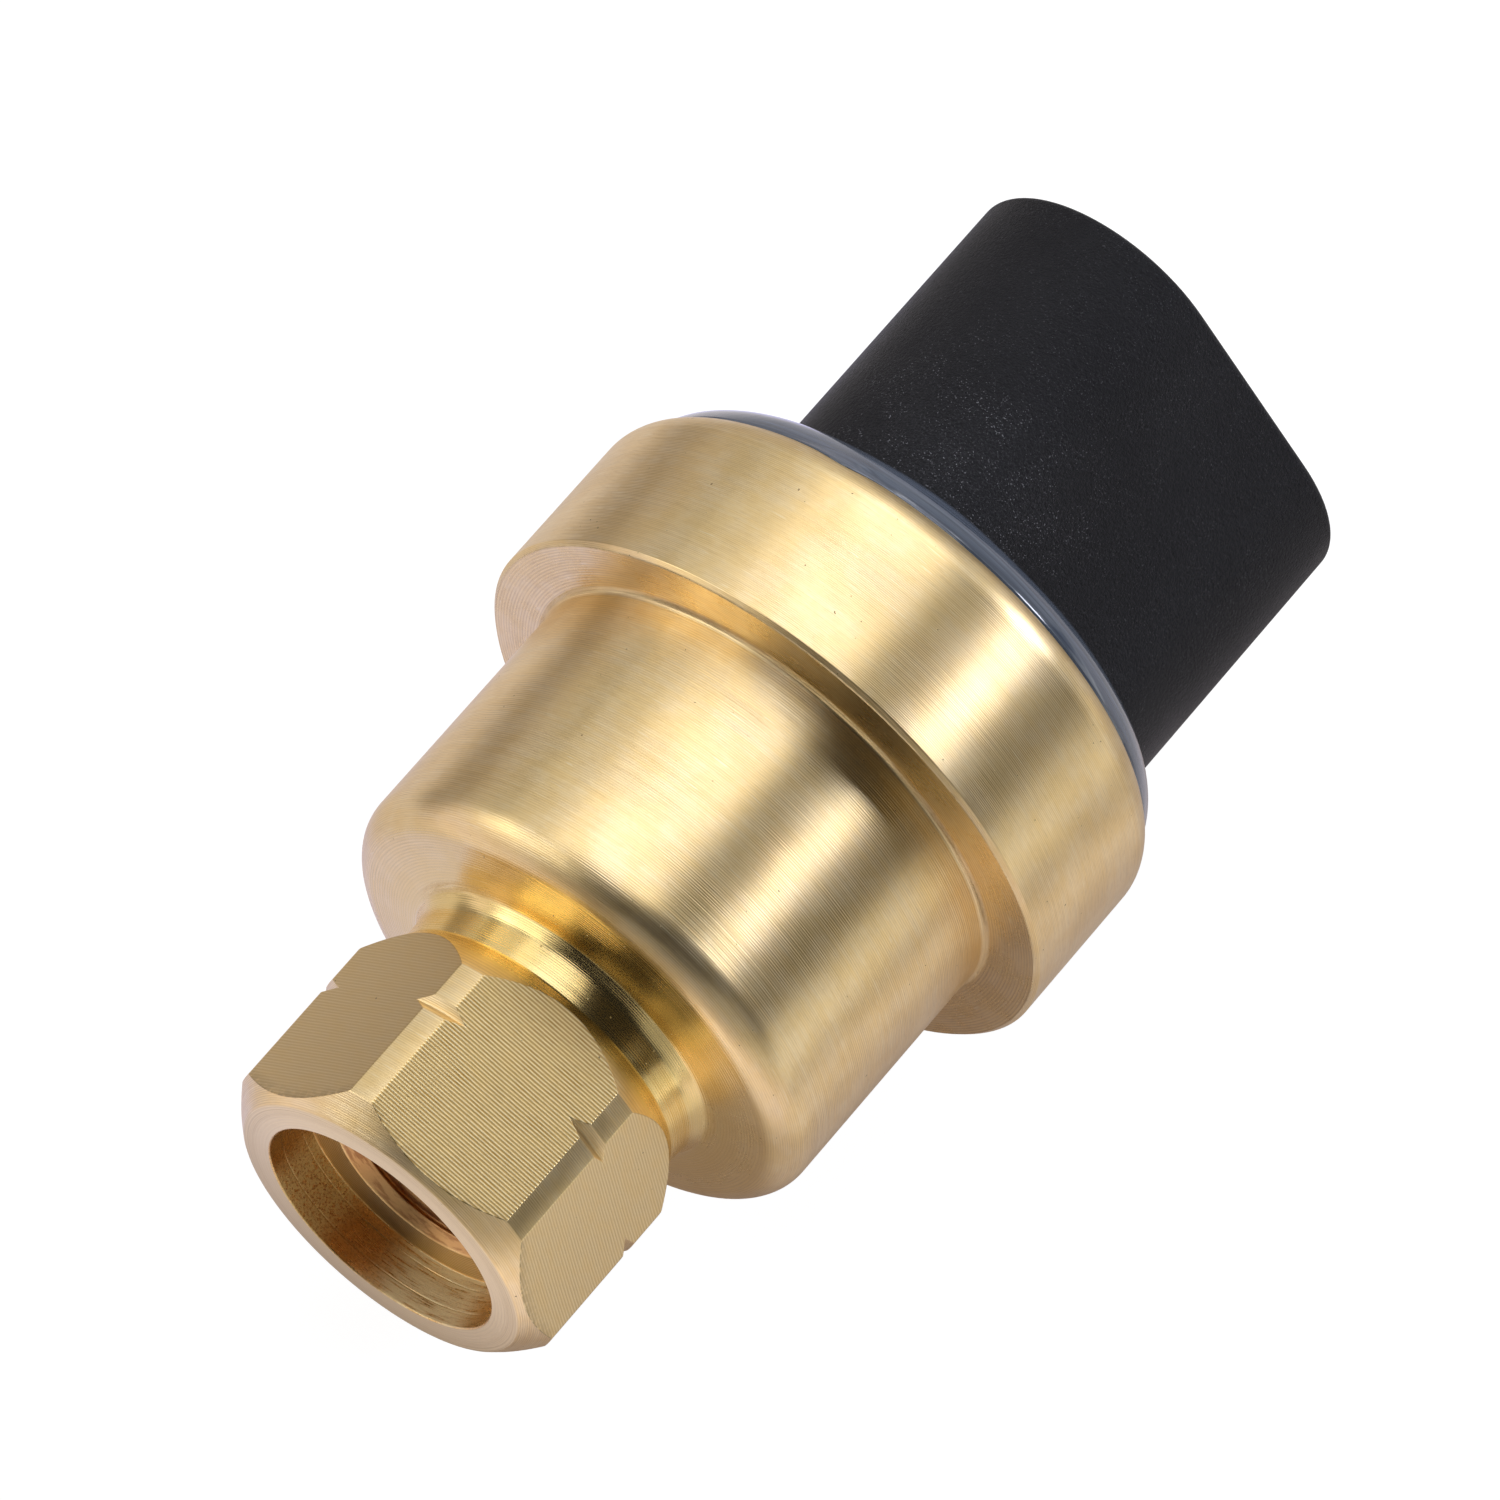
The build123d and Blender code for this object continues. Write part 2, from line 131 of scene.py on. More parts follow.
def ring_faces(rows, cols, closed_rows):
    """Quads between successive rings of cols points; the ring index runs fastest."""
    faces = []
    last = rows if closed_rows else rows - 1
    for j in range(last):
        a, b = j * cols, ((j + 1) % rows) * cols
        for i in range(cols):
            k = (i + 1) % cols
            faces.append((a + i, b + i, b + k, a + k))
    return faces


def smin(a, b, k):
    h = np.maximum(k - np.abs(a - b), 0) / k
    return np.minimum(a, b) - h * h * k * 0.25


def smax(a, b, k):
    return -smin(-a, -b, k)


# ---------------------------------------------------------------------------
# material helpers
# ---------------------------------------------------------------------------
class Mat:
    def __init__(self, name):
        self.m = bpy.data.materials.new(name)
        self.m.use_nodes = True
        self.nt = self.m.node_tree
        self.nt.nodes.clear()
        self.out = self.nt.nodes.new("ShaderNodeOutputMaterial")
        self.bsdf = self.nt.nodes.new("ShaderNodeBsdfPrincipled")
        self.nt.links.new(self.bsdf.outputs[0], self.out.inputs[0])

    def put(self, socket, value):
        if isinstance(value, bpy.types.NodeSocket):
            self.nt.links.new(value, socket)
        elif value is not None:
            socket.default_value = value

    def node(self, kind, ins=None, **props):
        n = self.nt.nodes.new(kind)
        for k, v in props.items():
            setattr(n, k, v)
        for k, v in (ins or {}).items():
            self.put(n.inputs[k], v)
        return n

    def math(self, op, a, b=None, c=None, clamp=False):
        n = self.node("ShaderNodeMath", operation=op, use_clamp=clamp)
        for i, v in enumerate((a, b, c)):
            self.put(n.inputs[i], v)
        return n.outputs[0]

    def add(self, *v):
        out = v[0]
        for w in v[1:]:
            out = self.math("ADD", out, w)
        return out

    def mul(self, *v):
        out = v[0]
        for w in v[1:]:
            out = self.math("MULTIPLY", out, w)
        return out

    def step(self, v, lo, hi, to0=0.0, to1=1.0):
        n = self.node("ShaderNodeMapRange", {"Value": v, "From Min": lo, "From Max": hi, "To Min": to0, "To Max": to1}, interpolation_type="SMOOTHSTEP", clamp=True)
        return n.outputs[0]

    def mix(self, f, a, b):
        n = self.node("ShaderNodeMix", data_type="RGBA")
        self.put(n.inputs[0], f)
        self.put(n.inputs[6], a)
        self.put(n.inputs[7], b)
        return n.outputs[2]

    def place(self):
        """Object coordinates in millimetres: x, y, z, distance from the switch's axis, azimuth from +Z towards +X."""
        tc = self.node("ShaderNodeTexCoord")
        mm = self.node("ShaderNodeVectorMath", operation="SCALE")
        self.nt.links.new(tc.outputs["Object"], mm.inputs[0])
        mm.inputs["Scale"].default_value = 1000.0
        self.co = mm.outputs[0]
        sep = self.node("ShaderNodeSeparateXYZ", {0: self.co})
        self.x, self.y, self.z = sep.outputs
        self.r = self.math("SQRT", self.add(self.mul(self.x, self.x), self.mul(self.z, self.z)))
        self.az = self.math("ARCTAN2", self.x, self.z)
        return self

    def noise(self, scale, vec=None, detail=2.0, rough=0.5, dims="3D", w=None, dist=0.0):
        n = self.node("ShaderNodeTexNoise", noise_dimensions=dims)
        if dims != "1D":
            self.put(n.inputs["Vector"], self.co if vec is None else vec)
        if w is not None:
            self.put(n.inputs["W"], w)
        n.inputs["Scale"].default_value = scale
        n.inputs["Detail"].default_value = detail
        n.inputs["Roughness"].default_value = rough
        n.inputs["Distortion"].default_value = dist
        return n.outputs["Fac"]

    def vec(self, x, y, z):
        n = self.node("ShaderNodeCombineXYZ", {0: x, 1: y, 2: z})
        return n.outputs[0]

    def bump(self, height, distance, strength=1.0, normal=None):
        n = self.node("ShaderNodeBump", {"Height": height, "Strength": strength, "Distance": distance})
        if normal is not None:
            self.nt.links.new(normal, n.inputs["Normal"])
        return n.outputs[0]

    def set(self, **kw):
        for k, v in kw.items():
            self.put(self.bsdf.inputs[k.replace("_", " ")], v)
        return self


def rgb(r, g, b):
    """Linear colour from 8-bit display values."""
    f = lambda c: (c / 255 / 12.92) if c <= 10.31 else ((c / 255 + 0.055) / 1.055) ** 2.4
    return (f(r), f(g), f(b), 1.0)


BRASS = (0.900, 0.680, 0.340, 1.0)
BRASS_WARM = (0.865, 0.615, 0.260, 1.0)
BRASS_PALE = (0.930, 0.740, 0.430, 1.0)
# dark brass painted into the turned grooves: painted shade
BRASS_GROOVE_SHADE = (0.36, 0.22, 0.11, 1.0)


def radial_tangent(M):
    n = M.node("ShaderNodeTangent", direction_type="RADIAL", axis="Y")
    return n.outputs[0]


def brass_turned():
    M = Mat("brass_turned").place()
    # distance along the turned outline, so that feed marks run round faces and cylinders alike
    s = M.add(M.y, M.mul(M.r, 0.62))
    front = M.step(M.y, 30.2, 30.4)
    period = M.add(0.1248, M.mul(front, -0.0251))
    wob = M.mul(M.noise(1.0, M.vec(M.mul(M.x, 0.12), M.mul(M.y, 0.5), M.mul(M.z, 0.12)), 1.0), 0.05)
    phase = M.math("DIVIDE", M.mul(M.add(s, wob), 2 * math.pi), period)
    feed = M.math("SINE", phase)
    feed = M.math("POWER", M.add(M.mul(feed, 0.5), 0.5), 1.6)
    patchy = M.step(M.noise(1.0, M.vec(M.mul(M.x, 0.25), M.mul(M.y, 0.35), M.mul(M.z, 0.25)), 2.0), 0.30, 0.62, 0.45, 1.0)
    band = M.noise(2.6, dims="1D", w=s, detail=3.0, rough=0.6)
    fine = M.noise(1.0, M.vec(M.mul(M.x, 1.1), M.mul(s, 15.0), M.mul(M.z, 1.1)), 3.0, 0.65)
    scratch = M.step(M.noise(1.0, M.vec(M.mul(M.x, 0.55), M.mul(s, 9.0), M.mul(M.z, 0.55)), 2.0, 0.5), 0.66, 0.74)
    grain = M.noise(14.0, detail=3.0, rough=0.65)
    soft = M.noise(0.55, detail=3.0, rough=0.55)
    dot = M.noise(3.1, detail=1.5, rough=0.7)
    pit = M.step(dot, 0.755, 0.785)
    lip = M.mul(M.step(dot, 0.725, 0.750), M.math("SUBTRACT", 1.0, pit))
    # some turns are cut deeper than their neighbours
    turns = M.noise(6.6, dims="1D", w=M.add(s, M.mul(wob, 0.6)), detail=2.0, rough=0.75)
    turns = M.step(turns, 0.34, 0.66)
    # the neck and the root of the drum's face are burnished
    neck = M.mul(M.step(M.y, 9.9, 11.6), M.step(M.y, 14.1, 15.2, 1.0, 0.0))
    root = M.mul(M.step(M.r, 12.1, 12.9, 1.0, 0.0), M.step(M.y, 14.0, 14.3), M.step(M.y, 15.3, 16.2, 1.0, 0.0), M.step(M.az, 0.55, 0.95, 1.0, 0.0))
    calm = M.math("SUBTRACT", 1.0, M.mul(M.math("MAXIMUM", neck, root), 0.62))
    height = M.add(M.mul(feed, M.mul(patchy, 1.9)), M.mul(turns, M.mul(patchy, 1.2)), M.mul(band, 0.6), M.mul(fine, M.mul(calm, 0.75)), M.mul(grain, M.mul(calm, 0.35)), M.mul(pit, -4.0), M.mul(lip, 0.8))
    nrm = M.bump(height, 0.0000026, 1.0)
    wear = M.node("ShaderNodeAttribute", attribute_name="wear").outputs["Fac"]
    # stain in the root of the neck's shoulder: a narrow broken ring on one side, a small patch on the other
    ring = M.mul(M.step(M.r, 8.70, 8.98), M.step(M.r, 9.22, 9.62, 1.0, 0.0))
    left = M.mul(M.step(M.az, -1.62, -1.30), M.step(M.az, -0.86, -0.70, 1.0, 0.0))
    right = M.mul(M.step(M.az, 1.02, 1.16), M.step(M.az, 1.40, 1.60, 1.0, 0.0))
    along = M.mul(M.step(M.y, 13.6, 14.0), M.step(M.y, 14.5, 14.8, 1.0, 0.0))
    blot = M.step(M.noise(1.0, M.vec(M.mul(M.az, 5.0), M.mul(M.r, 5.0), M.mul(M.y, 5.0)), 3.0, 0.6), 0.32, 0.54)
    peck = M.step(M.noise(9.0, detail=2.0, rough=0.7), 0.50, 0.62)
    stain = M.mul(ring, along, M.add(left, right), M.add(M.mul(blot, 0.55), M.mul(peck, blot, 0.45)))
    # faint warm tint round the same root: painted reflection of the warm brass face
    warm_reflection_tint = M.mul(M.step(M.y, 13.2, 14.0), M.step(M.y, 14.6, 15.0, 1.0, 0.0), M.step(M.r, 8.55, 8.9), M.step(M.r, 9.9, 11.2, 1.0, 0.0))
    col = M.mix(M.step(soft, 0.35, 0.68), BRASS, BRASS_PALE)
    col = M.mix(M.mul(M.step(band, 0.3, 0.7), 0.35), col, BRASS_WARM)
    # dark brass in the feed marks, the turns and the fine lines: painted shade of the grooves, standing in for shading
    # their bumps are too fine to give
    col = M.mix(M.mul(feed, M.mul(patchy, 0.30)), col, BRASS_GROOVE_SHADE)
    col = M.mix(M.mul(M.math("SUBTRACT", 1.0, turns), M.mul(patchy, 0.10)), col, BRASS_GROOVE_SHADE)
    col = M.mix(M.mul(M.step(fine, 0.48, 0.72), 0.18), col, BRASS_GROOVE_SHADE)
    col = M.mix(M.mul(scratch, 0.5), col, (0.93, 0.80, 0.55, 1))
    col = M.mix(M.mul(wear, 0.30), col, BRASS_PALE)
    col = M.mix(M.mul(warm_reflection_tint, 0.15), col, BRASS_WARM)
    col = M.mix(M.mul(stain, 0.92), col, (0.34, 0.185, 0.09, 1))
    col = M.mix(M.mul(pit, 0.85), col, (0.16, 0.10, 0.05, 1))
    # the faced end is paler and duller than the turned outside
    faced = M.step(M.y, 0.012, 0.05, 1.0, 0.0)
    # the faced end darker and browner towards the bottom: painted shade, for the shadowed floor it mirrors there
    low_end_shade = M.mul(faced, M.step(M.z, -8.5, 3.0, 1.0, 0.0))
    rings = M.noise(14.0, dims="1D", w=M.r, detail=2.0, rough=0.7)
    outer = M.step(M.r, 7.45, 7.9)
    col = M.mix(M.mul(faced, 0.75), col, M.mix(M.mul(M.step(rings, 0.40, 0.62), M.add(0.15, M.mul(outer, 0.55))), (0.86, 0.73, 0.49, 1), (0.58, 0.45, 0.26, 1)))
    col = M.mix(M.mul(low_end_shade, 0.62), col, (0.52, 0.405, 0.235, 1))
    cone = M.mul(M.step(M.y, 8.3, 9.0), M.step(M.y, 10.9, 11.5, 1.0, 0.0))
    face = M.mul(M.step(M.r, 13.75, 14.05), M.step(M.y, 30.28, 30.34), M.step(M.y, 30.36, 30.45, 1.0, 0.0))
    # the neck painted a deeper yellow: painted warm reflection of the brass round it
    col = M.mix(M.mul(neck, 0.65), col, (0.92, 0.69, 0.25, 1))
    rough = M.add(0.275, M.mul(neck, -0.105), M.mul(cone, 0.06), M.mul(root, -0.07), M.mul(face, -0.06), M.mul(soft, 0.07), M.mul(fine, 0.06), M.mul(stain, 0.30), M.mul(pit, 0.3), M.mul(faced, 0.10))
    M.set(Base_Color=col, Metallic=1.0, Roughness=rough, Normal=nrm)
    M.bsdf.inputs["Anisotropic"].default_value = 0.55
    M.bsdf.inputs["Anisotropic Rotation"].default_value = 0.25
    M.nt.links.new(radial_tangent(M), M.bsdf.inputs["Tangent"])
    return M.m


def brass_milled():
    M = Mat("brass_milled").place()
    # cutter lines across each flat; the passes wander a little and differ in depth from flat to flat
    wob = M.mul(M.noise(1.0, M.vec(M.mul(M.x, 0.30), M.mul(M.y, 1.2), M.mul(M.z, 0.30)), 2.0), 0.07)
    phase = M.mul(M.add(M.y, wob), 2 * math.pi / 0.1785)
    line = M.math("POWER", M.add(M.mul(M.math("SINE", phase), 0.5), 0.5), 1.3)
    valley_shade = M.math("SUBTRACT", 1.0, line)
    side = M.math("ABSOLUTE", M.az)
    deep = M.add(0.45, M.mul(M.step(side, 0.46, 0.58, 1.0, 0.0), 0.55), M.mul(M.step(side, 2.5, 2.7), 0.3))
    wide = M.noise(2.0, M.vec(M.mul(M.x, 0.15), M.mul(M.y, 1.5), M.mul(M.z, 0.15)), 3.0, 0.6)
    fine = M.noise(1.0, M.vec(M.mul(M.x, 1.8), M.mul(M.y, 19.0), M.mul(M.z, 1.8)), 2.0, 0.6)
    patch = M.noise(1.0, M.vec(M.mul(M.x, 0.7), M.mul(M.y, 1.6), M.mul(M.z, 0.7)), 3.0, 0.6)
    grain = M.noise(16.0, detail=2.0)
    dot = M.noise(3.4, detail=1.5, rough=0.7)
    pit = M.step(dot, 0.76, 0.79)
    height = M.add(M.mul(line, M.mul(deep, 3.4)), M.mul(wide, 1.2), M.mul(fine, 1.3), M.mul(grain, 0.5), M.mul(pit, -4.0))
    nrm = M.bump(height, 0.0000030, 1.0)
    col = M.mix(M.step(patch, 0.36, 0.68), (1.0, 0.845, 0.49, 1), (1.0, 0.81, 0.43, 1))
    # the valleys of the cutter lines painted dark: painted shade in the grooves, stronger where the flats are cut
    # deeper
    col = M.mix(M.mul(valley_shade, deep, M.step(patch, 0.2, 0.6, 1.0, 0.8)), col, (0.45, 0.245, 0.036, 1))
    # the flats away from the middle one painted browner, and the left ones darker still: painted shade for how each
    # flat faces the lamps
    col = M.mix(M.step(side, 0.46, 0.58, 0.0, 0.24), col, (0.50, 0.325, 0.100, 1))
    col = M.mix(M.step(M.az, -0.58, -0.46, 0.42, 0.0), col, (0.46, 0.290, 0.120, 1))
    col = M.mix(M.mul(M.step(fine, 0.5, 0.75), 0.25), col, (0.60, 0.43, 0.18, 1))
    burr = M.node("ShaderNodeAttribute", attribute_name="burr").outputs["Fac"]
    ragged = M.step(M.noise(2.4, detail=3.0, rough=0.7), 0.36, 0.55)
    col = M.mix(M.mul(burr, ragged, 0.6), col, (0.14, 0.09, 0.045, 1))
    col = M.mix(M.mul(pit, 0.8), col, (0.16, 0.10, 0.05, 1))
    rough = M.add(0.30, M.step(side, 0.46, 0.58, 0.09, 0.0), M.mul(wide, 0.06), M.mul(fine, 0.06))
    M.set(Base_Color=col, Metallic=1.0, Roughness=rough, Normal=nrm)
    M.bsdf.inputs["Anisotropic"].default_value = 0.5
    M.bsdf.inputs["Anisotropic Rotation"].default_value = 0.25
    M.nt.links.new(radial_tangent(M), M.bsdf.inputs["Tangent"])
    return M.m


def brass_bore():
    M = Mat("brass_bore").place()
    s = M.add(M.y, M.mul(M.r, 0.62))
    fine = M.noise(1.0, M.vec(M.mul(M.x, 0.8), M.mul(s, 14.0), M.mul(M.z, 0.8)), 4.0, 0.65)
    spark = M.noise(8.0, detail=3.0, rough=0.75)
    soft = M.noise(0.6, detail=3.0)
    wall = M.mul(M.step(M.r, 6.66, 6.72), M.step(M.y, 2.90, 2.94, 1.0, 0.0))
    shoulder = M.mul(M.step(M.r, 5.12, 5.22), M.step(M.r, 6.62, 6.70, 1.0, 0.0))
    inner = M.step(M.r, 5.05, 5.15, 1.0, 0.0)
    # scuffed arc at the bottom, where a fitting has rubbed the wall: rougher and part diffuse, and its bright colour a
    # painted highlight
    scuff_and_highlight = M.mul(wall, M.step(M.az, 1.75, 2.25), M.step(M.az, 2.75, 3.1, 1.0, 0.0), M.step(M.noise(1.0, M.vec(M.mul(M.x, 0.5), M.mul(M.y, 9.0), M.mul(M.z, 0.5)), 3.0, 0.7), 0.34, 0.54))
    # bright gold patch low on the left of the wall: a painted glint, also rougher and part diffuse
    gold_glint = M.mul(wall, M.step(M.az, -3.0, -2.72), M.step(M.az, -2.35, -2.05, 1.0, 0.0), M.step(M.noise(7.0, detail=3.0, rough=0.8), 0.40, 0.56))
    scratch = M.mul(wall, M.step(M.noise(1.0, M.vec(M.mul(M.x, 0.35), M.mul(M.y, 12.0), M.mul(M.z, 0.35)), 2.0, 0.6), 0.64, 0.72))
    lines = M.mul(shoulder, M.add(M.mul(M.math("SINE", M.mul(M.r, 2 * math.pi / 0.135)), 0.5), 0.5))
    height = M.add(M.mul(fine, 3.2), M.mul(spark, 4.2), M.mul(lines, 2.5))
    nrm = M.bump(height, 0.0000036, 1.0)
    col = M.mix(M.step(soft, 0.35, 0.7), (0.84, 0.56, 0.23, 1), (0.74, 0.45, 0.16, 1))
    # dark specks and bright ones on the wall: the bright specks are painted glints
    col = M.mix(M.mul(wall, M.step(spark, 0.47, 0.60), 0.65), col, (0.42, 0.22, 0.065, 1))
    col = M.mix(M.mul(wall, M.step(spark, 0.62, 0.68), 0.8), col, (0.97, 0.80, 0.40, 1))
    col = M.mix(M.add(M.mul(scuff_and_highlight, 0.80), M.mul(scratch, 0.20)), col, (1.0, 0.83, 0.46, 1))
    col = M.mix(M.mul(gold_glint, 0.9), col, (1.0, 0.74, 0.28, 1))
    col = M.mix(M.mul(shoulder, 0.8), col, M.mix(lines, (0.62, 0.46, 0.235, 1), (0.33, 0.21, 0.08, 1)))
    col = M.mix(M.mul(inner, 0.8), col, M.mix(M.step(fine, 0.45, 0.62), (0.62, 0.33, 0.13, 1), (0.34, 0.13, 0.05, 1)))
    rough = M.add(0.19, M.mul(soft, 0.10), M.mul(fine, 0.06), M.mul(shoulder, 0.10), M.mul(inner, 0.10), M.mul(scuff_and_highlight, 0.20), M.mul(gold_glint, 0.22))
    dry = M.math("SUBTRACT", 1.0, M.add(M.mul(scuff_and_highlight, 0.62), M.mul(gold_glint, 0.75), M.mul(scratch, 0.15)), clamp=True)
    M.set(Base_Color=col, Metallic=dry, Roughness=rough, Normal=nrm)
    M.bsdf.inputs["Anisotropic"].default_value = 0.4
    M.bsdf.inputs["Anisotropic Rotation"].default_value = 0.25
    M.nt.links.new(radial_tangent(M), M.bsdf.inputs["Tangent"])
    return M.m


def housing_black():
    M = Mat("housing_black").place()
    # spark-eroded mould grain: rounded cells about 0.13 mm across, with finer pitting between them
    cell = M.node("ShaderNodeTexVoronoi", {"Vector": M.co}, feature="SMOOTH_F1")
    cell.inputs["Scale"].default_value = 5.6
    cell.inputs["Smoothness"].default_value = 0.6
    cells = cell.outputs["Distance"]
    erode = M.noise(5.0, detail=4.0, rough=0.68)
    speck = M.noise(12.0, detail=2.0, rough=0.6)
    broad = M.noise(0.16, detail=3.0)
    flow = M.noise(1.0, M.vec(M.mul(M.x, 0.25), M.mul(M.y, 0.06), M.mul(M.z, 0.25)), 2.0)
    pip = M.step(M.noise(6.5, detail=1.0), 0.68, 0.76)
    # the grain is worn smoother low on the barrel's right
    smooth = M.mul(M.step(M.az, 0.75, 1.15), M.step(M.y, 46.0, 49.0, 1.0, 0.0), 0.55)
    depth = M.math("SUBTRACT", 1.0, smooth)
    nrm = M.bump(M.mul(M.add(M.mul(cells, -0.7), M.mul(erode, 1.6), M.mul(speck, 1.2), M.mul(pip, 0.6)), depth), 0.000046, 1.0)
    col = M.mix(M.step(broad, 0.38, 0.66), (0.0026, 0.0023, 0.0042, 1), (0.0048, 0.0045, 0.0066, 1))
    col = M.mix(M.mul(M.step(erode, 0.52, 0.72), 0.35), col, (0.015, 0.015, 0.018, 1))
    col = M.mix(M.mul(pip, 0.22), col, (0.07, 0.07, 0.075, 1))
    # where the lamps reflect on the barrel the grain is painted lighter and flecked brighter: painted sheen and painted
    # glints; fainter painted glints elsewhere
    lit = M.mul(M.step(M.az, -1.0, -0.45), M.step(M.az, 0.10, 0.55, 1.0, 0.0), M.step(M.y, 46.0, 53.0, 1.0, 0.0))
    glint = M.mul(M.step(M.noise(10.5, detail=1.0, rough=0.6), 0.655, 0.73), M.step(M.noise(0.5, detail=2.0), 0.32, 0.58), M.add(0.25, M.mul(lit, 0.75)))
    lit_sheen = M.mul(lit, M.step(M.noise(8.0, detail=3.0, rough=0.7), 0.48, 0.70), M.step(broad, 0.30, 0.60, 0.35, 1.0))
    col = M.mix(M.mul(lit_sheen, 0.60), col, (0.042, 0.042, 0.047, 1))
    col = M.mix(M.mul(glint, 0.9), col, (0.27, 0.27, 0.29, 1))
    rough = M.add(0.36, M.mul(M.step(flow, 0.3, 0.7), 0.06), M.mul(erode, 0.12), M.mul(pip, -0.14), M.mul(smooth, -0.06))
    M.set(Base_Color=col, Metallic=0.0, Roughness=rough, Normal=nrm)
    M.bsdf.inputs["Specular IOR Level"].default_value = 0.23
    M.bsdf.inputs["IOR"].default_value = 1.5
    return M.m


def sealant():
    M = Mat("sealant_grey").place()
    # drawn round the rim by the nozzle: streaks follow the circumference
    st = M.noise(1.0, M.vec(M.mul(M.az, 1.1), M.mul(M.r, 5.0), M.mul(M.y, 5.0)), 4.0, 0.6, dist=0.4)
    soft = M.noise(0.7, detail=2.0)
    nrm = M.bump(M.add(M.mul(st, 0.45), M.mul(soft, 2.0)), 0.000022, 1.0)
    col = M.mix(M.step(st, 0.35, 0.68), rgb(62, 70, 83), rgb(88, 97, 112))
    col = M.mix(M.mul(M.step(soft, 0.4, 0.7), 0.3), col, rgb(72, 81, 95))
    M.set(Base_Color=col, Metallic=0.0, Roughness=M.add(0.11, M.mul(st, 0.08)), Normal=nrm)
    M.bsdf.inputs["Coat Weight"].default_value = 0.9
    M.bsdf.inputs["Coat Roughness"].default_value = 0.06
    return M.m


def metal(name, base, dark, rough, period=0.1, aniso=0.5, bump=0.0000018, turned=True):
    """Small machined or stamped metal piece: fine marks, mottling and dulled patches."""
    M = Mat(name).place()
    s = M.add(M.y, M.mul(M.r, 0.62)) if turned else M.add(M.y, M.mul(M.x, 0.3), M.mul(M.z, 0.7))
    feed = M.add(M.mul(M.math("SINE", M.mul(s, 2 * math.pi / period)), 0.5), 0.5)
    fine = M.noise(1.0, M.vec(M.mul(M.x, 2.0), M.mul(s, 15.0), M.mul(M.z, 2.0)), 3.0, 0.6)
    grain = M.noise(12.0, detail=3.0, rough=0.7)
    soft = M.noise(0.8, detail=3.0)
    nrm = M.bump(M.add(M.mul(feed, 0.5), M.mul(fine, 0.9), M.mul(grain, 0.7)), bump, 1.0)
    col = M.mix(M.step(soft, 0.36, 0.68), base, dark)
    col = M.mix(M.mul(M.step(grain, 0.5, 0.75), 0.35), col, dark)
    M.set(Base_Color=col, Metallic=1.0, Roughness=M.add(rough, M.mul(soft, 0.10), M.mul(fine, 0.06)), Normal=nrm)
    if turned:
        M.bsdf.inputs["Anisotropic"].default_value = aniso
        M.bsdf.inputs["Anisotropic Rotation"].default_value = 0.25
        M.nt.links.new(radial_tangent(M), M.bsdf.inputs["Tangent"])
    return M.m


def moulded(name, base, other, rough, scale=5.0, bump=0.000012, coat=0.0, spec=0.5, fibre=0.0):
    """Moulded plastic, rubber or ceramic: surface grain, flow mottling and small specks."""
    M = Mat(name).place()
    erode = M.noise(scale, detail=4.0, rough=0.65)
    broad = M.noise(scale * 0.12, detail=3.0)
    speck = M.step(M.noise(scale * 2.2, detail=1.0), 0.66, 0.76)
    nrm = M.bump(M.add(erode, M.mul(speck, 0.5)), bump, 1.0)
    col = M.mix(M.step(broad, 0.35, 0.68), base, other)
    if fibre:
        streak = M.noise(1.0, M.vec(M.mul(M.x, 1.2), M.mul(M.y, 6.0), M.mul(M.z, 1.2)), 3.0, 0.7)
        col = M.mix(M.mul(M.step(streak, 0.52, 0.72), fibre), col, other)
    col = M.mix(M.mul(speck, 0.3), col, other)
    M.set(Base_Color=col, Metallic=0.0, Roughness=M.add(rough, M.mul(erode, 0.12)), Normal=nrm)
    M.bsdf.inputs["Coat Weight"].default_value = coat
    M.bsdf.inputs["Coat Roughness"].default_value = 0.1
    M.bsdf.inputs["Specular IOR Level"].default_value = spec
    return M.m


mat_turned = brass_turned()
mat_milled = brass_milled()
mat_bore = brass_bore()
mat_housing = housing_black()
mat_sealant = sealant()

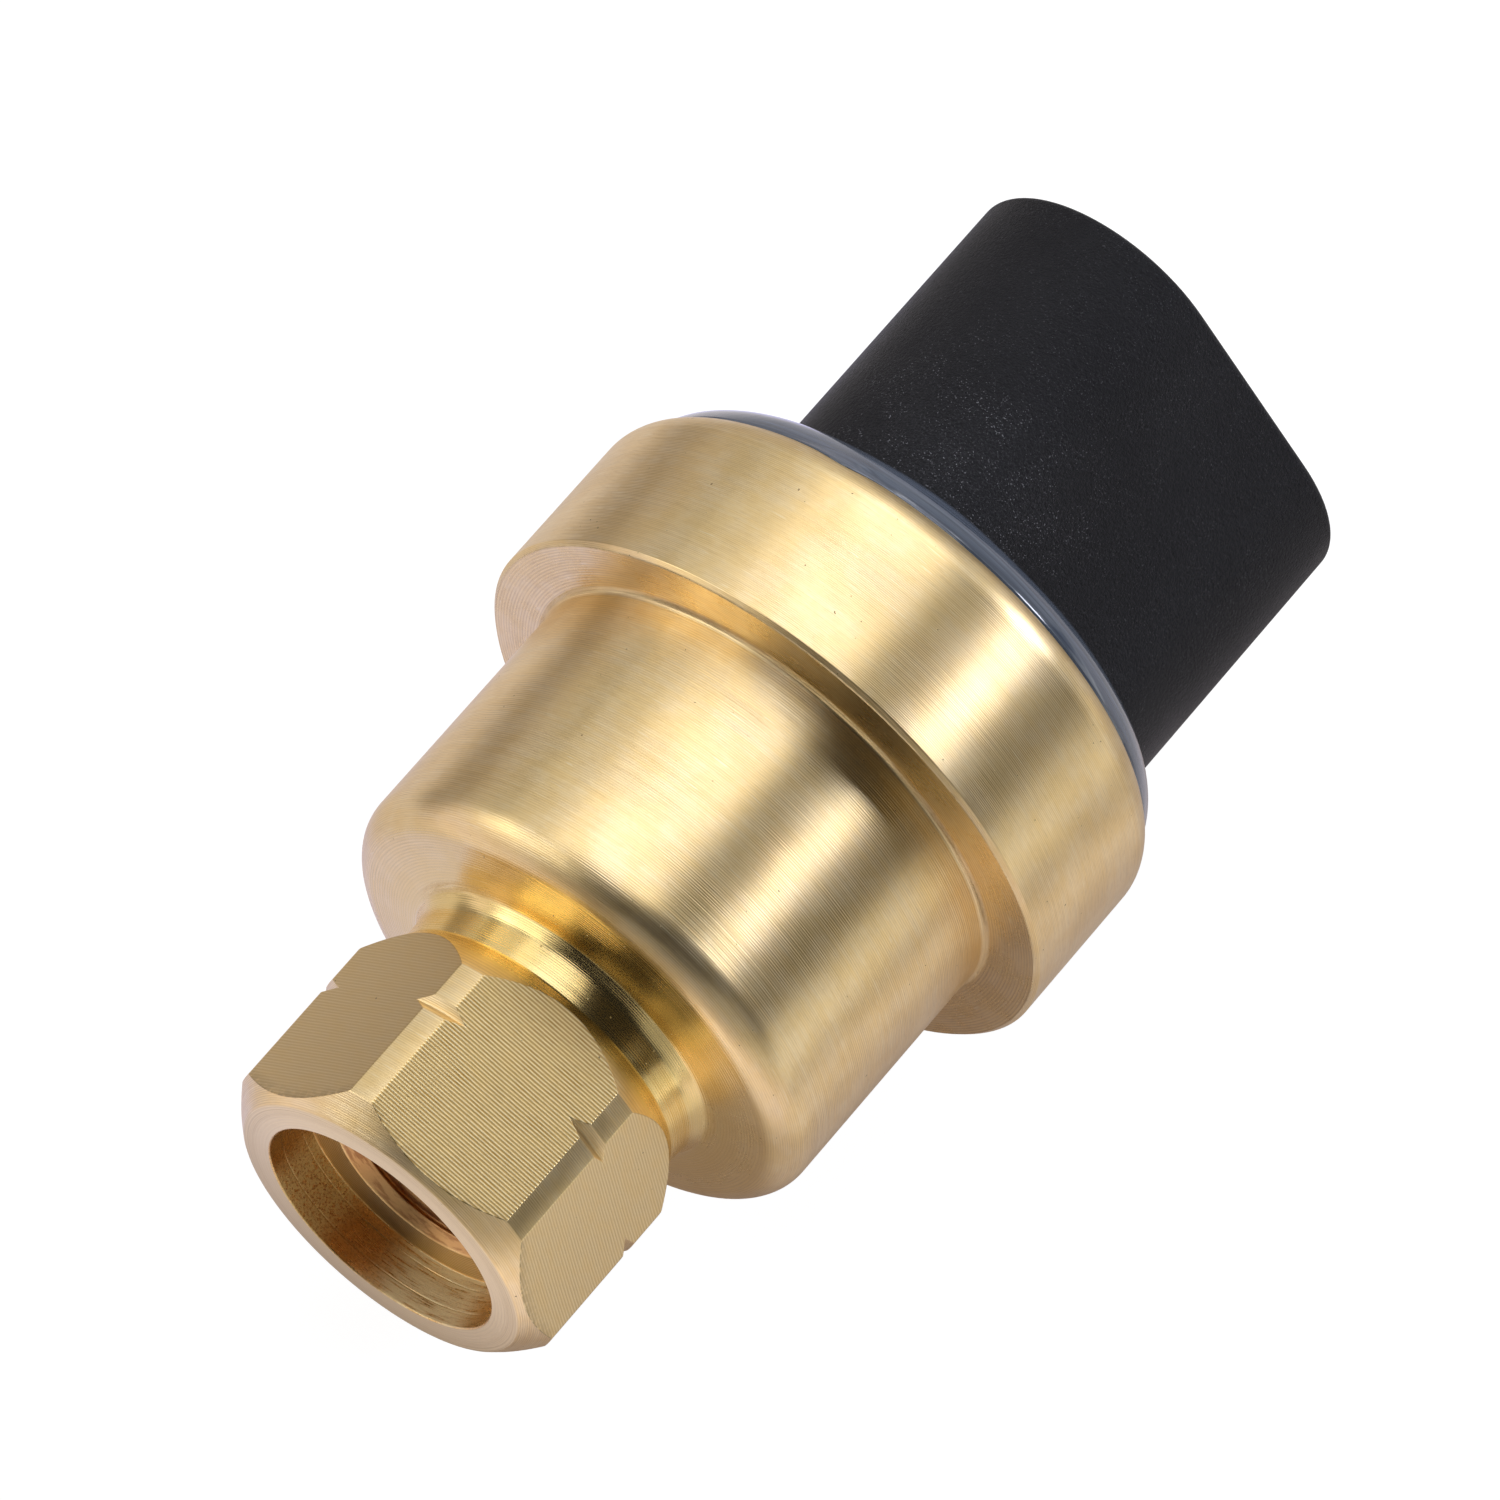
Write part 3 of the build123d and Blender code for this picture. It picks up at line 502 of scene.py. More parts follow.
finish = {
    "valve_depressor": metal("depressor_brass", (0.78, 0.58, 0.30, 1), (0.55, 0.36, 0.16, 1), 0.26),
    "diaphragm_seal": moulded("seal_rubber", (0.012, 0.028, 0.016, 1), (0.02, 0.045, 0.026, 1), 0.42, 4.0, 0.000010),
    "diaphragm": moulded("diaphragm_film", (0.62, 0.30, 0.05, 1), (0.75, 0.42, 0.10, 1), 0.16, 2.0, 0.000004, coat=0.4),
    "disc_holder": metal("holder_steel", (0.60, 0.60, 0.60, 1), (0.40, 0.40, 0.41, 1), 0.28, 0.11),
    "pressure_pad": metal("pad_steel", (0.56, 0.56, 0.58, 1), (0.38, 0.38, 0.40, 1), 0.24, 0.09),
    "snap_disc": metal("disc_steel", (0.66, 0.66, 0.68, 1), (0.50, 0.50, 0.53, 1), 0.16, 0.22),
    "pin_guide": moulded("guide_moulding", (0.055, 0.026, 0.014, 1), (0.09, 0.045, 0.024, 1), 0.42, 5.0, fibre=0.5),
    "transfer_pin": moulded("pin_ceramic", (0.80, 0.79, 0.74, 1), (0.68, 0.66, 0.60, 1), 0.22, 6.0, 0.000004, coat=0.3),
    "moving_blade": metal("spring_copper", (0.78, 0.46, 0.28, 1), (0.60, 0.32, 0.18, 1), 0.22, 0.08, turned=False),
    "moving_contact": metal("contact_silver_moving", (0.86, 0.85, 0.82, 1), (0.62, 0.60, 0.57, 1), 0.20, 0.07),
    "closed_contact": metal("contact_silver_closed", (0.86, 0.85, 0.82, 1), (0.62, 0.60, 0.57, 1), 0.20, 0.07),
    "open_contact": metal("contact_silver_open", (0.86, 0.85, 0.82, 1), (0.62, 0.60, 0.57, 1), 0.20, 0.07),
    "blade_rivet": metal("rivet_brass", (0.76, 0.58, 0.32, 1), (0.54, 0.38, 0.18, 1), 0.26, 0.08),
    "common_terminal": metal("terminal_tin_common", (0.72, 0.71, 0.68, 1), (0.52, 0.51, 0.49, 1), 0.27, 0.09, turned=False),
    "closed_terminal": metal("terminal_tin_closed", (0.72, 0.71, 0.68, 1), (0.52, 0.51, 0.49, 1), 0.27, 0.09, turned=False),
    "open_terminal": metal("terminal_tin_open", (0.72, 0.71, 0.68, 1), (0.52, 0.51, 0.49, 1), 0.27, 0.09, turned=False),
    "contact_base": moulded("base_moulding", (0.075, 0.036, 0.018, 1), (0.12, 0.062, 0.032, 1), 0.44, 5.0, fibre=0.5),
    "connector_housing": mat_housing,
    "terminal_potting": moulded("potting_epoxy", (0.012, 0.010, 0.010, 1), (0.022, 0.019, 0.018, 1), 0.14, 1.2, 0.000014, coat=0.5),
    "housing_o_ring": moulded("o_ring_rubber", (0.010, 0.010, 0.010, 1), (0.018, 0.018, 0.018, 1), 0.40, 5.0, 0.000008),
}
for name, mat in finish.items():
    ob = nodes[name]
    for i in range(len(ob.material_slots)):
        ob.material_slots[i].material = mat
for name in ("brass_body", "sealant_bead"):
    for i in range(len(nodes[name].material_slots)):
        nodes[name].material_slots[i].material = mat_turned if name == "brass_body" else mat_sealant


# ---------------------------------------------------------------------------
# the two spring pieces, which join a fixed part to a moving one
# ---------------------------------------------------------------------------
def flexible(name, node, planes, normal):
    """The piece as a mesh of its own, cut across along its length at the given planes."""
    me = nodes[node].data.copy()
    me.name = name
    bm = bmesh.new()
    bm.from_mesh(me)
    for co in planes:
        bmesh.ops.bisect_plane(bm, geom=bm.verts[:] + bm.edges[:] + bm.faces[:], dist=1e-8, plane_co=co, plane_no=normal)
    bm.to_mesh(me)
    bm.free()
    ob = bpy.data.objects.new(name, me)
    bpy.context.scene.collection.objects.link(ob)
    return ob


# the blade is clamped under its rivet and bends past the edge of the terminal's tab
u_dir = Vector((0.5, 0.0, -0.8660254))
clamp, free = Vector((0, 0.02825, 0)) + u_dir * -0.00475, Vector((0, 0.02825, 0)) + u_dir * -0.0032
blade = flexible("moving_blade_bending", "moving_blade", [clamp.lerp(free, k / 12) for k in range(13)], u_dir)
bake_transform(blade)
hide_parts("moving_blade")

# the disc's rim stays on the guide while its centre is pressed towards flat; here it is copied as a mesh of its own,
# uncut, on the switch's body
disc = flexible("snap_disc_flattening", "snap_disc", [], u_dir)
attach(disc, "switch_body")
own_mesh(disc)
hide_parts("snap_disc")

# the pin's far end is domed, so that the tilted blade touches it at one point
PIN_R, PIN_DOME, PIN_TOP = 1.25, 2.0, 27.99
pin_rows = [(0.79, 21.31), (0.80, 21.31), (0.81, 21.32), (1.24, 21.75), (PIN_R, 21.77), (PIN_R, 27.52)]
pin_rows += [(r, PIN_TOP - PIN_DOME + math.sqrt(PIN_DOME ** 2 - r * r)) for r in (1.23, 1.10, 0.95, 0.80, 0.65, 0.50, 0.35, 0.20, 0.06)]
PIN_N = 48
pin_co = [(r * math.cos(2 * math.pi * k / PIN_N), y, r * math.sin(2 * math.pi * k / PIN_N)) for r, y in pin_rows for k in range(PIN_N)]
pin_faces = ring_faces(len(pin_rows), PIN_N, False)
pin_faces.append(tuple(range(PIN_N)))
pin_faces.append(tuple(reversed(range((len(pin_rows) - 1) * PIN_N, len(pin_rows) * PIN_N))))
pin = mesh_object("transfer_pin_domed", np.array(pin_co) * MM, pin_faces, [finish["transfer_pin"]], body="actuator")
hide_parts("transfer_pin")


# ---------------------------------------------------------------------------
# brass body
# ---------------------------------------------------------------------------
HEX_A = 8.73
R_CORNER, Y_CHAMFER, Y_HEX_REAR, Y_NECK = 9.71, 1.33, 9.99, 11.90
R_CH0, Y_CH0 = 8.46, 0.09
CH_SLOPE = (R_CORNER - R_CH0) / (Y_CHAMFER - Y_CH0)
REAR_SLOPE = (R_CORNER - 8.49) / (Y_NECK - Y_HEX_REAR)
GROOVE_Y, GROOVE_R, GROOVE_SLOPE = 7.40, 9.31, 0.62 / (0.62 * 1.1)
EDGE_K = 0.010
PITCH, R_MAJOR = 1.0583, 4.7625

theta_edge = math.degrees(math.acos(HEX_A / R_CORNER))
theta_groove = math.degrees(math.acos(HEX_A / GROOVE_R))
half = [0, 2.4, 4.8, 7.2, 9.6, 12, 14.4, 16.6, 18.6, theta_groove, 21.4, 22.6, 23.8, 24.8, 25.4, 25.72, theta_edge, 26.22, 26.55, 27.2, 28.1, 29.1, 30]
sector = sorted(set([-a for a in half[1:]] + half[:-1]))
azimuths = np.radians(np.array([60 * k + a for k in range(6) for a in sector]))
in_sector = np.radians(np.array([a for k in range(6) for a in sector]))
N = len(azimuths)
flat_r = HEX_A / np.cos(in_sector)


def turned_radius(y):
    """Outline of the hex end before the flats are milled."""
    r = np.where(y < Y_CH0, 8.28 + (R_CH0 - 8.28) * np.sqrt(np.clip(y / Y_CH0, 0, 1)), 0)
    r = np.where(y >= Y_CH0, R_CH0 + (y - Y_CH0) * CH_SLOPE, r)
    r = np.minimum(r, R_CORNER - (y - Y_HEX_REAR) * REAR_SLOPE)
    r = smin(r, np.full_like(r, R_CORNER), 0.03)
    return r


def hex_radius(y):
    groove = smax(GROOVE_R + np.abs(y - GROOVE_Y) * GROOVE_SLOPE, np.full_like(y, GROOVE_R), 0.05)
    return smin(smin(turned_radius(y), groove, EDGE_K), flat_r, EDGE_K)


rows = []          # each row: (radii, heights), one value per azimuth
kinds = []         # finish of the band that starts at each row


burrs = []         # 1 where a flat breaks out into the chamfer


def row(r, y, kind="turned", burr=0.0):
    rows.append((np.broadcast_to(np.asarray(r, float), (N,)).copy(), np.broadcast_to(np.asarray(y, float), (N,)).copy()))
    burrs.append(np.broadcast_to(np.asarray(burr, float), (N,)).copy())
    kinds.append(kind)


# end face and its edge
row(6.84, 0.0, "end")
row(7.10, 0.0, "end")
row(7.45, 0.0, "end")
row(7.90, 0.0, "end")
row(8.24, 0.0, "end")
row(8.36, 0.018, "turned")
row(R_CH0, Y_CH0, "turned")
# chamfer, flats and grooves, row by row along each azimuth
y_front = np.where(flat_r < R_CORNER, Y_CH0 + (flat_r - R_CH0) / CH_SLOPE, Y_CHAMFER)
y_rear = np.where(flat_r < R_CORNER, Y_HEX_REAR + (R_CORNER - flat_r) / REAR_SLOPE, Y_HEX_REAR)
w = np.maximum((np.minimum(flat_r, R_CORNER) - GROOVE_R) / GROOVE_SLOPE, 0.03)
stations = []
for f in (0.3, 0.6, 0.85):
    stations.append(Y_CH0 + (y_front - Y_CH0 - 0.05) * f)
for d in (-0.04, -0.02, 0.0, 0.02, 0.04):
    stations.append(y_front + d)
a, b = y_front + 0.04, GROOVE_Y - w - 0.05
for f in (0.1, 0.25, 0.4, 0.55, 0.7, 0.85, 0.95):
    stations.append(a + (b - a) * f)
for d in (-0.04, -0.02, 0.0, 0.02):
    stations.append(GROOVE_Y - w + d * np.minimum(1, w / 0.06))
for f in (0.5, 0.25, 0.12):
    stations.append(GROOVE_Y - w * f)
stations.append(np.full(N, GROOVE_Y))
for f in (0.12, 0.25, 0.5):
    stations.append(GROOVE_Y + w * f)
for d in (-0.02, 0.0, 0.02, 0.04):
    stations.append(GROOVE_Y + w + d * np.minimum(1, w / 0.06))
a, b = GROOVE_Y + w + 0.05, y_rear - 0.05
for f in (0.1, 0.3, 0.5, 0.7, 0.9):
    stations.append(a + (b - a) * f)
for d in (-0.045, -0.02, 0.0, 0.02, 0.045):
    stations.append(y_rear + d)
for f in (0.35, 0.7, 1.0):
    stations.append(y_rear + 0.045 + (Y_NECK - 0.02 - y_rear - 0.045) * f)
on_flat = (flat_r < R_CORNER - 0.02).astype(float)
for y in stations:
    near = np.clip(1.25 - np.abs(y - y_front - 0.01) / 0.035, 0, 1) + 0.7 * np.clip(1.2 - np.abs(y - y_rear) / 0.03, 0, 1)
    row(hex_radius(y), y, "hex", near * on_flat)

# neck, body, flange and lip
neck = [(8.49, Y_NECK)] + arc3((8.49, 11.90), (8.44, 12.00), (8.43, 12.14), 4)
neck += [(8.433, 12.6), (8.44, 12.95), (8.46, 13.25)] + arc3((8.46, 13.25), (8.515, 13.55), (8.64, 13.80), 5)
neck += [(8.74, 13.95), (8.83, 14.085)] + arc3((8.83, 14.085), (8.89, 14.155), (8.975, 14.20), 6)
neck += [(9.03, 14.220), (9.10, 14.240), (9.22, 14.28), (10.0, 14.391), (10.9, 14.519), (11.75, 14.64)]
neck += arc3((11.75, 14.64), (13.11, 15.24), (13.64, 16.60), 18)
neck += [(13.64, 20.0), (13.64, 24.0), (13.64, 27.5), (13.64, 30.0)] + arc3((13.64, 30.0), (13.7425, 30.2475), (13.99, 30.35), 6)
neck += [(14.4, 30.35), (15.5, 30.35)] + soften([(15.5, 30.35, 0), (16.61, 30.35, 0.05), (16.85, 30.59, 0.07), (16.85, 33.0, 0)])[1:]
neck += [(16.85, 36.0), (16.85, 38.2), (16.85, 38.55)] + arc3((16.85, 38.55), (16.61, 39.53), (15.90, 40.25), 14)
for r, y in neck:
    row(r, y, "turned")
# hidden lip, cup and chamber
hidden = [(15.6, 40.25), (13.76, 40.25), (13.72, 40.21), (13.72, 39.09), (13.76, 39.05), (14.86, 39.05), (14.90, 39.01), (14.90, 35.2), (14.90, 31.54), (14.86, 31.50),
          (11.44, 31.50), (11.40, 31.46), (11.40, 25.0), (11.40, 19.04), (11.36, 19.0), (10.74, 19.0), (10.70, 18.96), (10.70, 17.64), (10.66, 17.60), (8.74, 17.60), (8.70, 17.64), (8.70, 18.96),
          (8.66, 19.0), (7.54, 19.0), (7.50, 18.96), (7.50, 18.54), (7.46, 18.50), (1.60, 18.50), (1.50, 18.40), (1.50, 16.0), (1.50, 13.24), (1.54, 13.16), (3.16, 11.72), (3.24, 11.70),
          (3.96, 11.70), (4.00, 11.66), (4.00, 10.64), (4.04, 10.60), (4.86, 10.60), (4.90, 10.56), (4.90, 9.80)]
for r, y in hidden:
    row(r, y, "chamber")

# thread: minor bore and countersink, cut by the helical groove
def bore_radius(y):
    if y <= 3.10:
        return 5.15
    if y < 3.95:
        return 5.15 - (y - 3.10)
    if y <= 9.50:
        return 4.30
    return min(4.30 + (y - 9.50) * 2.4, 4.90)


ys = list(np.arange(9.76, 3.11, -0.045))
for y in ys:
    phase = (y / PITCH - azimuths / (2 * math.pi) + 0.30) % 1.0
    d = np.abs(phase - 0.5) * PITCH
    cut = R_MAJOR - np.maximum(d - 0.07, 0) * 1.732
    base = np.full(N, bore_radius(y))
    row(smax(base, cut, 0.05), y, "thread")
# shoulder, counterbore with its two scribed rings, and the mouth
row(5.155, 3.105, "thread")
for r, y in [(5.19, 3.10), (5.6, 3.06), (6.1, 3.01), (6.45, 2.975), (6.70, 2.95)]:
    row(r, y, "shoulder")
R_CB = 6.76
cb = [(0, 2.90), (0, 2.40), (0, 2.36), (0.035, 2.335), (0, 2.31), (0, 2.26), (0, 1.7), (0, 1.02), (0, 0.97), (0.03, 0.945), (0, 0.92), (0, 0.86), (0, 0.30), (0, 0.08), (0.02, 0.035), (0.06, 0.004)]
cb = [(R_CB + dr, y) for dr, y in cb]
for r, y in cb:
    row(r, y, "bore")

co = np.zeros((len(rows), N, 3))
for j, (r, y) in enumerate(rows):
    co[j, :, 0] = r * np.sin(azimuths)
    co[j, :, 1] = y
    co[j, :, 2] = r * np.cos(azimuths)
faces = ring_faces(len(rows), N, True)
slot_of = {"turned": 0, "end": 0, "hex": 0, "chamber": 0, "thread": 2, "shoulder": 2, "bore": 2}
radii = np.array([r for r, y in rows])
face_mat = []
for j in range(len(rows)):
    k = (j + 1) % len(rows)
    base = np.full(N, slot_of[kinds[j]])
    if kinds[j] == "hex":
        mean = (radii[j] + radii[k] + np.roll(radii[j], -1) + np.roll(radii[k], -1)) / 4
        want = (flat_r + np.roll(flat_r, -1)) / 2
        base[np.abs(mean - want) < 0.012] = 1
    face_mat.append(base)
face_mat = np.concatenate(face_mat)


def edge_wear(co, faces):
    """0 to 1 by the angle between the faces that meet at each vertex."""
    f = np.array(faces)
    n = np.cross(co[f[:, 2]] - co[f[:, 0]], co[f[:, 3]] - co[f[:, 1]])
    n /= np.maximum(np.linalg.norm(n, axis=1), 1e-12)[:, None]
    s = np.zeros((len(co), 3))
    c = np.zeros(len(co))
    for k in range(4):
        np.add.at(s, f[:, k], n)
        np.add.at(c, f[:, k], 1)
    spread = 1 - np.linalg.norm(s, axis=1) / np.maximum(c, 1)
    return np.clip(spread / 0.03, 0, 1)


flat_co = co.reshape(-1, 3)
# faces run so that their normals point out of the metal
brass = mesh_object("brass_body_detailed", flat_co * MM, faces, [mat_turned, mat_milled, mat_bore], face_mat, {"wear": edge_wear(flat_co, faces), "burr": np.concatenate(burrs)})
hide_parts("brass_body")


# ---------------------------------------------------------------------------
# sealant bead: laid by hand round the rim, with a tongue that ran over the brass edge
# ---------------------------------------------------------------------------
def smooth_noise(seed, az, terms=9, lowest=2, power=1.1):
    rng = np.random.default_rng(seed)
    out = np.zeros_like(az)
    for k in range(lowest, lowest + terms):
        out += rng.normal() / k ** power * np.cos(k * az + rng.uniform(0, 2 * math.pi))
    return out / max(1e-9, np.abs(out).max())


M_AZ = 360
az = np.radians(np.arange(M_AZ) * 360.0 / M_AZ)
deg = (np.degrees(az) + 180) % 360 - 180
tongue = np.exp(-((deg + 27.5) / 6.0) ** 2) * 0.52 + 0.08 * np.exp(-((deg + 36) / 3.5) ** 2)
edge_low = tongue + 0.05 + 0.035 * smooth_noise(5, az, 14, 3)            # mm past the lip's outer edge, down over the rolled brass
crest_r = 14.57 + 0.10 * smooth_noise(6, az)
crest_y = 42.10 + 0.07 * smooth_noise(7, az)
inner_y = 41.80 + 0.10 * smooth_noise(8, az, 12, 3)
rim = [(15.90, 40.25)] + arc3((15.90, 40.25), (16.61, 39.53), (16.85, 38.55), 40)
rim_len = np.concatenate([[0], np.cumsum([math.dist(rim[i], rim[i + 1]) for i in range(len(rim) - 1)])])


def on_rim(s, out=0.0):
    r = np.interp(s, rim_len, [p[0] for p in rim])
    y = np.interp(s, rim_len, [p[1] for p in rim])
    r2 = np.interp(s + 0.02, rim_len, [p[0] for p in rim])
    y2 = np.interp(s + 0.02, rim_len, [p[1] for p in rim])
    tr, ty = r2 - r, y2 - y
    ln = np.hypot(tr, ty)
    # outward from the brass: to the left of the way down the rim
    return r - ty / ln * out, y + tr / ln * out


bead_rows = []
# underside, inside the metal, then up the outer skin
bead_rows.append((np.full(M_AZ, 13.45), np.full(M_AZ, 40.30)))
bead_rows.append((np.full(M_AZ, 15.70), np.full(M_AZ, 40.22)))
r0, y0 = on_rim(edge_low * 0.5, -0.04)
bead_rows.append((r0, y0))
r0, y0 = on_rim(edge_low, -0.03)
bead_rows.append((r0, y0))
for s_back, out in ((0.006, 0.02), (0.024, 0.05), (0.055, 0.08), (0.10, 0.105), (0.15, 0.118)):
    bead_rows.append(on_rim(np.maximum(edge_low - s_back, 0), out))
top_r, top_y = on_rim(np.maximum(edge_low - 0.21, 0), 0.122)
T = 16
for k in range(1, T + 1):
    t = k / T
    # quadratic from the rim to the crest, swelling outwards
    cr = 15.62 + 0.12 * tongue + 0.04 * smooth_noise(9, az)
    cy = 41.52 + 0.05 * smooth_noise(10, az)
    r = (1 - t) ** 2 * top_r + 2 * t * (1 - t) * cr + t * t * crest_r
    y = (1 - t) ** 2 * top_y + 2 * t * (1 - t) * cy + t * t * crest_y
    bead_rows.append((r, y))
for k in range(1, 7):
    t = k / 6
    cr, cy = 14.05 + 0 * az, crest_y + 0.06
    r = (1 - t) ** 2 * crest_r + 2 * t * (1 - t) * cr + t * t * 13.53
    y = (1 - t) ** 2 * crest_y + 2 * t * (1 - t) * cy + t * t * inner_y
    bead_rows.append((r, y))
bead_rows.append((np.full(M_AZ, 13.45), inner_y - 0.02))
bco = np.zeros((len(bead_rows), M_AZ, 3))
for j, (r, y) in enumerate(bead_rows):
    bco[j, :, 0] = r * np.sin(az)
    bco[j, :, 1] = y
    bco[j, :, 2] = r * np.cos(az)
bead = mesh_object("sealant_bead_detailed", bco.reshape(-1, 3) * MM, ring_faces(len(bead_rows), M_AZ, True), [mat_sealant])
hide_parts("sealant_bead")


# ---------------------------------------------------------------------------
# floor, light and camera
# ---------------------------------------------------------------------------
scene = bpy.context.scene
FLOOR_Z = -0.01685 - 0.0001


def plane(name, size, z):
    me = bpy.data.meshes.new(name)
    n = 8
    pts, quads = [], []
    for j in range(n + 1):
        for i in range(n + 1):
            pts.append(((i / n - 0.5) * size, (j / n - 0.5) * size, z))
    for j in range(n):
        for i in range(n):
            a = j * (n + 1) + i
            quads.append((a, a + 1, a + n + 2, a + n + 1))
    me.from_pydata(pts, [], quads)
    ob = bpy.data.objects.new(name, me)
    scene.collection.objects.link(ob)
    return ob


def stage_material(name, nodes_of):
    m = bpy.data.materials.new(name)
    m.use_nodes = True
    nt = m.node_tree
    nt.nodes.clear()
    out = nt.nodes.new("ShaderNodeOutputMaterial")
    both = nt.nodes.new("ShaderNodeAddShader")
    dif = nt.nodes.new("ShaderNodeBsdfDiffuse")
    emi = nt.nodes.new("ShaderNodeEmission")
    nt.links.new(dif.outputs[0], both.inputs[0])
    nt.links.new(emi.outputs[0], both.inputs[1])
    nt.links.new(both.outputs[0], out.inputs[0])
    nodes_of(nt, dif, emi)
    return m


def paper(nt, dif, emi):
    dif.inputs["Color"].default_value = (0.20, 0.20, 0.20, 1)
    emi.inputs["Color"].default_value = (1, 1, 1, 1)
    # the lamps' light falls off with distance; the paper is evened out towards the horizon
    tc = nt.nodes.new("ShaderNodeTexCoord")
    far = nt.nodes.new("ShaderNodeVectorMath")
    far.operation = "LENGTH"
    nt.links.new(tc.outputs["Object"], far.inputs[0])
    even = nt.nodes.new("ShaderNodeMapRange")
    even.interpolation_type = "SMOOTHSTEP"
    nt.links.new(far.outputs["Value"], even.inputs["Value"])
    even.inputs["From Min"].default_value, even.inputs["From Max"].default_value = 0.20, 0.90
    even.inputs["To Min"].default_value, even.inputs["To Max"].default_value = 0.93, 1.0
    nt.links.new(even.outputs[0], emi.inputs["Strength"])


# the floor that is seen, and the same paper as it lights and mirrors in the switch
floor = plane("floor", 12.0, FLOOR_Z)
floor.data.materials.append(stage_material("floor_paper", paper))
floor.visible_diffuse = floor.visible_glossy = floor.visible_transmission = floor.visible_volume_scatter = floor.visible_shadow = False

# how bright the hidden paper glows, zone by zone: close under the switch, to its sides, before and behind it. The glow
# is painted light on the floor as the switch mirrors it; the dim zone close under the switch's right is a painted
# shadow.
ZONES = {
    "near_left": (0.48, 0.49, 0.75),
    "near_right": (0.13, 0.10, 0.10),
    "left1": (0.46, 0.44, 0.46),
    "right1": (0.285, 0.265, 0.295),
    "right2": (0.56, 0.54, 0.56),
    "right3": (0.10, 0.10, 0.10),
    "front1": (0.70, 0.66, 0.78),
    "front2": (0.36, 0.31, 0.29),
    "front3": (0.92, 0.84, 0.90),
    "back": (0.22, 0.22, 0.23),
}


def bounce(nt, dif, emi):
    tc = nt.nodes.new("ShaderNodeTexCoord")
    sep = nt.nodes.new("ShaderNodeSeparateXYZ")
    nt.links.new(tc.outputs["Object"], sep.inputs[0])

    def ramp(axis, lo, hi, up=True):
        n = nt.nodes.new("ShaderNodeMapRange")
        n.interpolation_type = "SMOOTHSTEP"
        nt.links.new(sep.outputs[axis], n.inputs["Value"])
        n.inputs["From Min"].default_value, n.inputs["From Max"].default_value = lo, hi
        n.inputs["To Min"].default_value, n.inputs["To Max"].default_value = (0.0, 1.0) if up else (1.0, 0.0)
        return n.outputs[0]

    def times(a, b):
        n = nt.nodes.new("ShaderNodeMath")
        n.operation = "MULTIPLY"
        for k, v in enumerate((a, b)):
            if isinstance(v, bpy.types.NodeSocket):
                nt.links.new(v, n.inputs[k])
            else:
                n.inputs[k].default_value = v
        return n.outputs[0]

    along = times(ramp("Y", -0.013, -0.002), ramp("Y", 0.060, 0.080, False))
    near = times(times(ramp("X", -0.024, -0.016), ramp("X", 0.016, 0.024, False)), along)
    masks = {
        "near_left": times(near, ramp("X", -0.010, 0.010, False)),
        "near_right": times(near, ramp("X", -0.010, 0.010)),
        "left1": times(times(ramp("X", -0.055, -0.040), ramp("X", -0.024, -0.016, False)), along),
        "right1": times(times(ramp("X", 0.016, 0.024), ramp("X", 0.040, 0.055, False)), along),
        "right2": times(times(ramp("X", 0.040, 0.055), ramp("X", 0.12, 0.16, False)), along),
        "right3": times(ramp("X", 0.12, 0.16), along),
        "front1": times(ramp("Y", -0.013, -0.002, False), ramp("Y", -0.075, -0.045)),
        "front2": ramp("Y", -0.075, -0.045, False),
        "front3": times(times(ramp("X", 0.008, 0.024), ramp("X", 0.07, 0.10, False)), times(ramp("Y", -0.11, -0.085), ramp("Y", -0.055, -0.040, False))),
        "back": ramp("Y", 0.060, 0.080),
    }
    total = None
    for name, mask in masks.items():
        sc = nt.nodes.new("ShaderNodeVectorMath")
        sc.operation = "SCALE"
        sc.inputs[0].default_value = ZONES[name]
        nt.links.new(mask, sc.inputs["Scale"])
        if total is None:
            total = sc.outputs[0]
        else:
            ad = nt.nodes.new("ShaderNodeVectorMath")
            ad.operation = "ADD"
            nt.links.new(total, ad.inputs[0])
            nt.links.new(sc.outputs[0], ad.inputs[1])
            total = ad.outputs[0]
    dif.inputs["Color"].default_value = (0.37, 0.33, 0.30, 1)
    nt.links.new(total, emi.inputs["Color"])
    emi.inputs["Strength"].default_value = 1.0


floor_bounce = plane("floor_bounce", 12.0, FLOOR_Z - 0.00005)
floor_bounce.data.materials.append(stage_material("floor_bounce", bounce))
floor_bounce.visible_camera = False

world = bpy.data.worlds.new("studio")
scene.world = world
world.use_nodes = True
wt = world.node_tree
wt.nodes.clear()
w_out = wt.nodes.new("ShaderNodeOutputWorld")
w_bg = wt.nodes.new("ShaderNodeBackground")
w_tc = wt.nodes.new("ShaderNodeTexCoord")
w_sep = wt.nodes.new("ShaderNodeSeparateXYZ")
w_ramp = wt.nodes.new("ShaderNodeValToRGB")
wt.links.new(w_tc.outputs["Generated"], w_sep.inputs[0])
wt.links.new(w_sep.outputs["Z"], w_ramp.inputs[0])
w_dim = wt.nodes.new("ShaderNodeMapRange")
w_dim.interpolation_type = "SMOOTHSTEP"
wt.links.new(w_sep.outputs["Y"], w_dim.inputs["Value"])
w_dim.inputs["From Min"].default_value, w_dim.inputs["From Max"].default_value = -0.85, -0.35
w_dim.inputs["To Min"].default_value, w_dim.inputs["To Max"].default_value = 0.30, 1.0
w_low = wt.nodes.new("ShaderNodeMapRange")
w_low.interpolation_type = "SMOOTHSTEP"
wt.links.new(w_sep.outputs["Z"], w_low.inputs["Value"])
w_low.inputs["From Min"].default_value, w_low.inputs["From Max"].default_value = 0.03, 0.05
w_low.inputs["To Min"].default_value, w_low.inputs["To Max"].default_value = 1.0, 0.0
w_max = wt.nodes.new("ShaderNodeMath")
w_max.operation = "MAXIMUM"
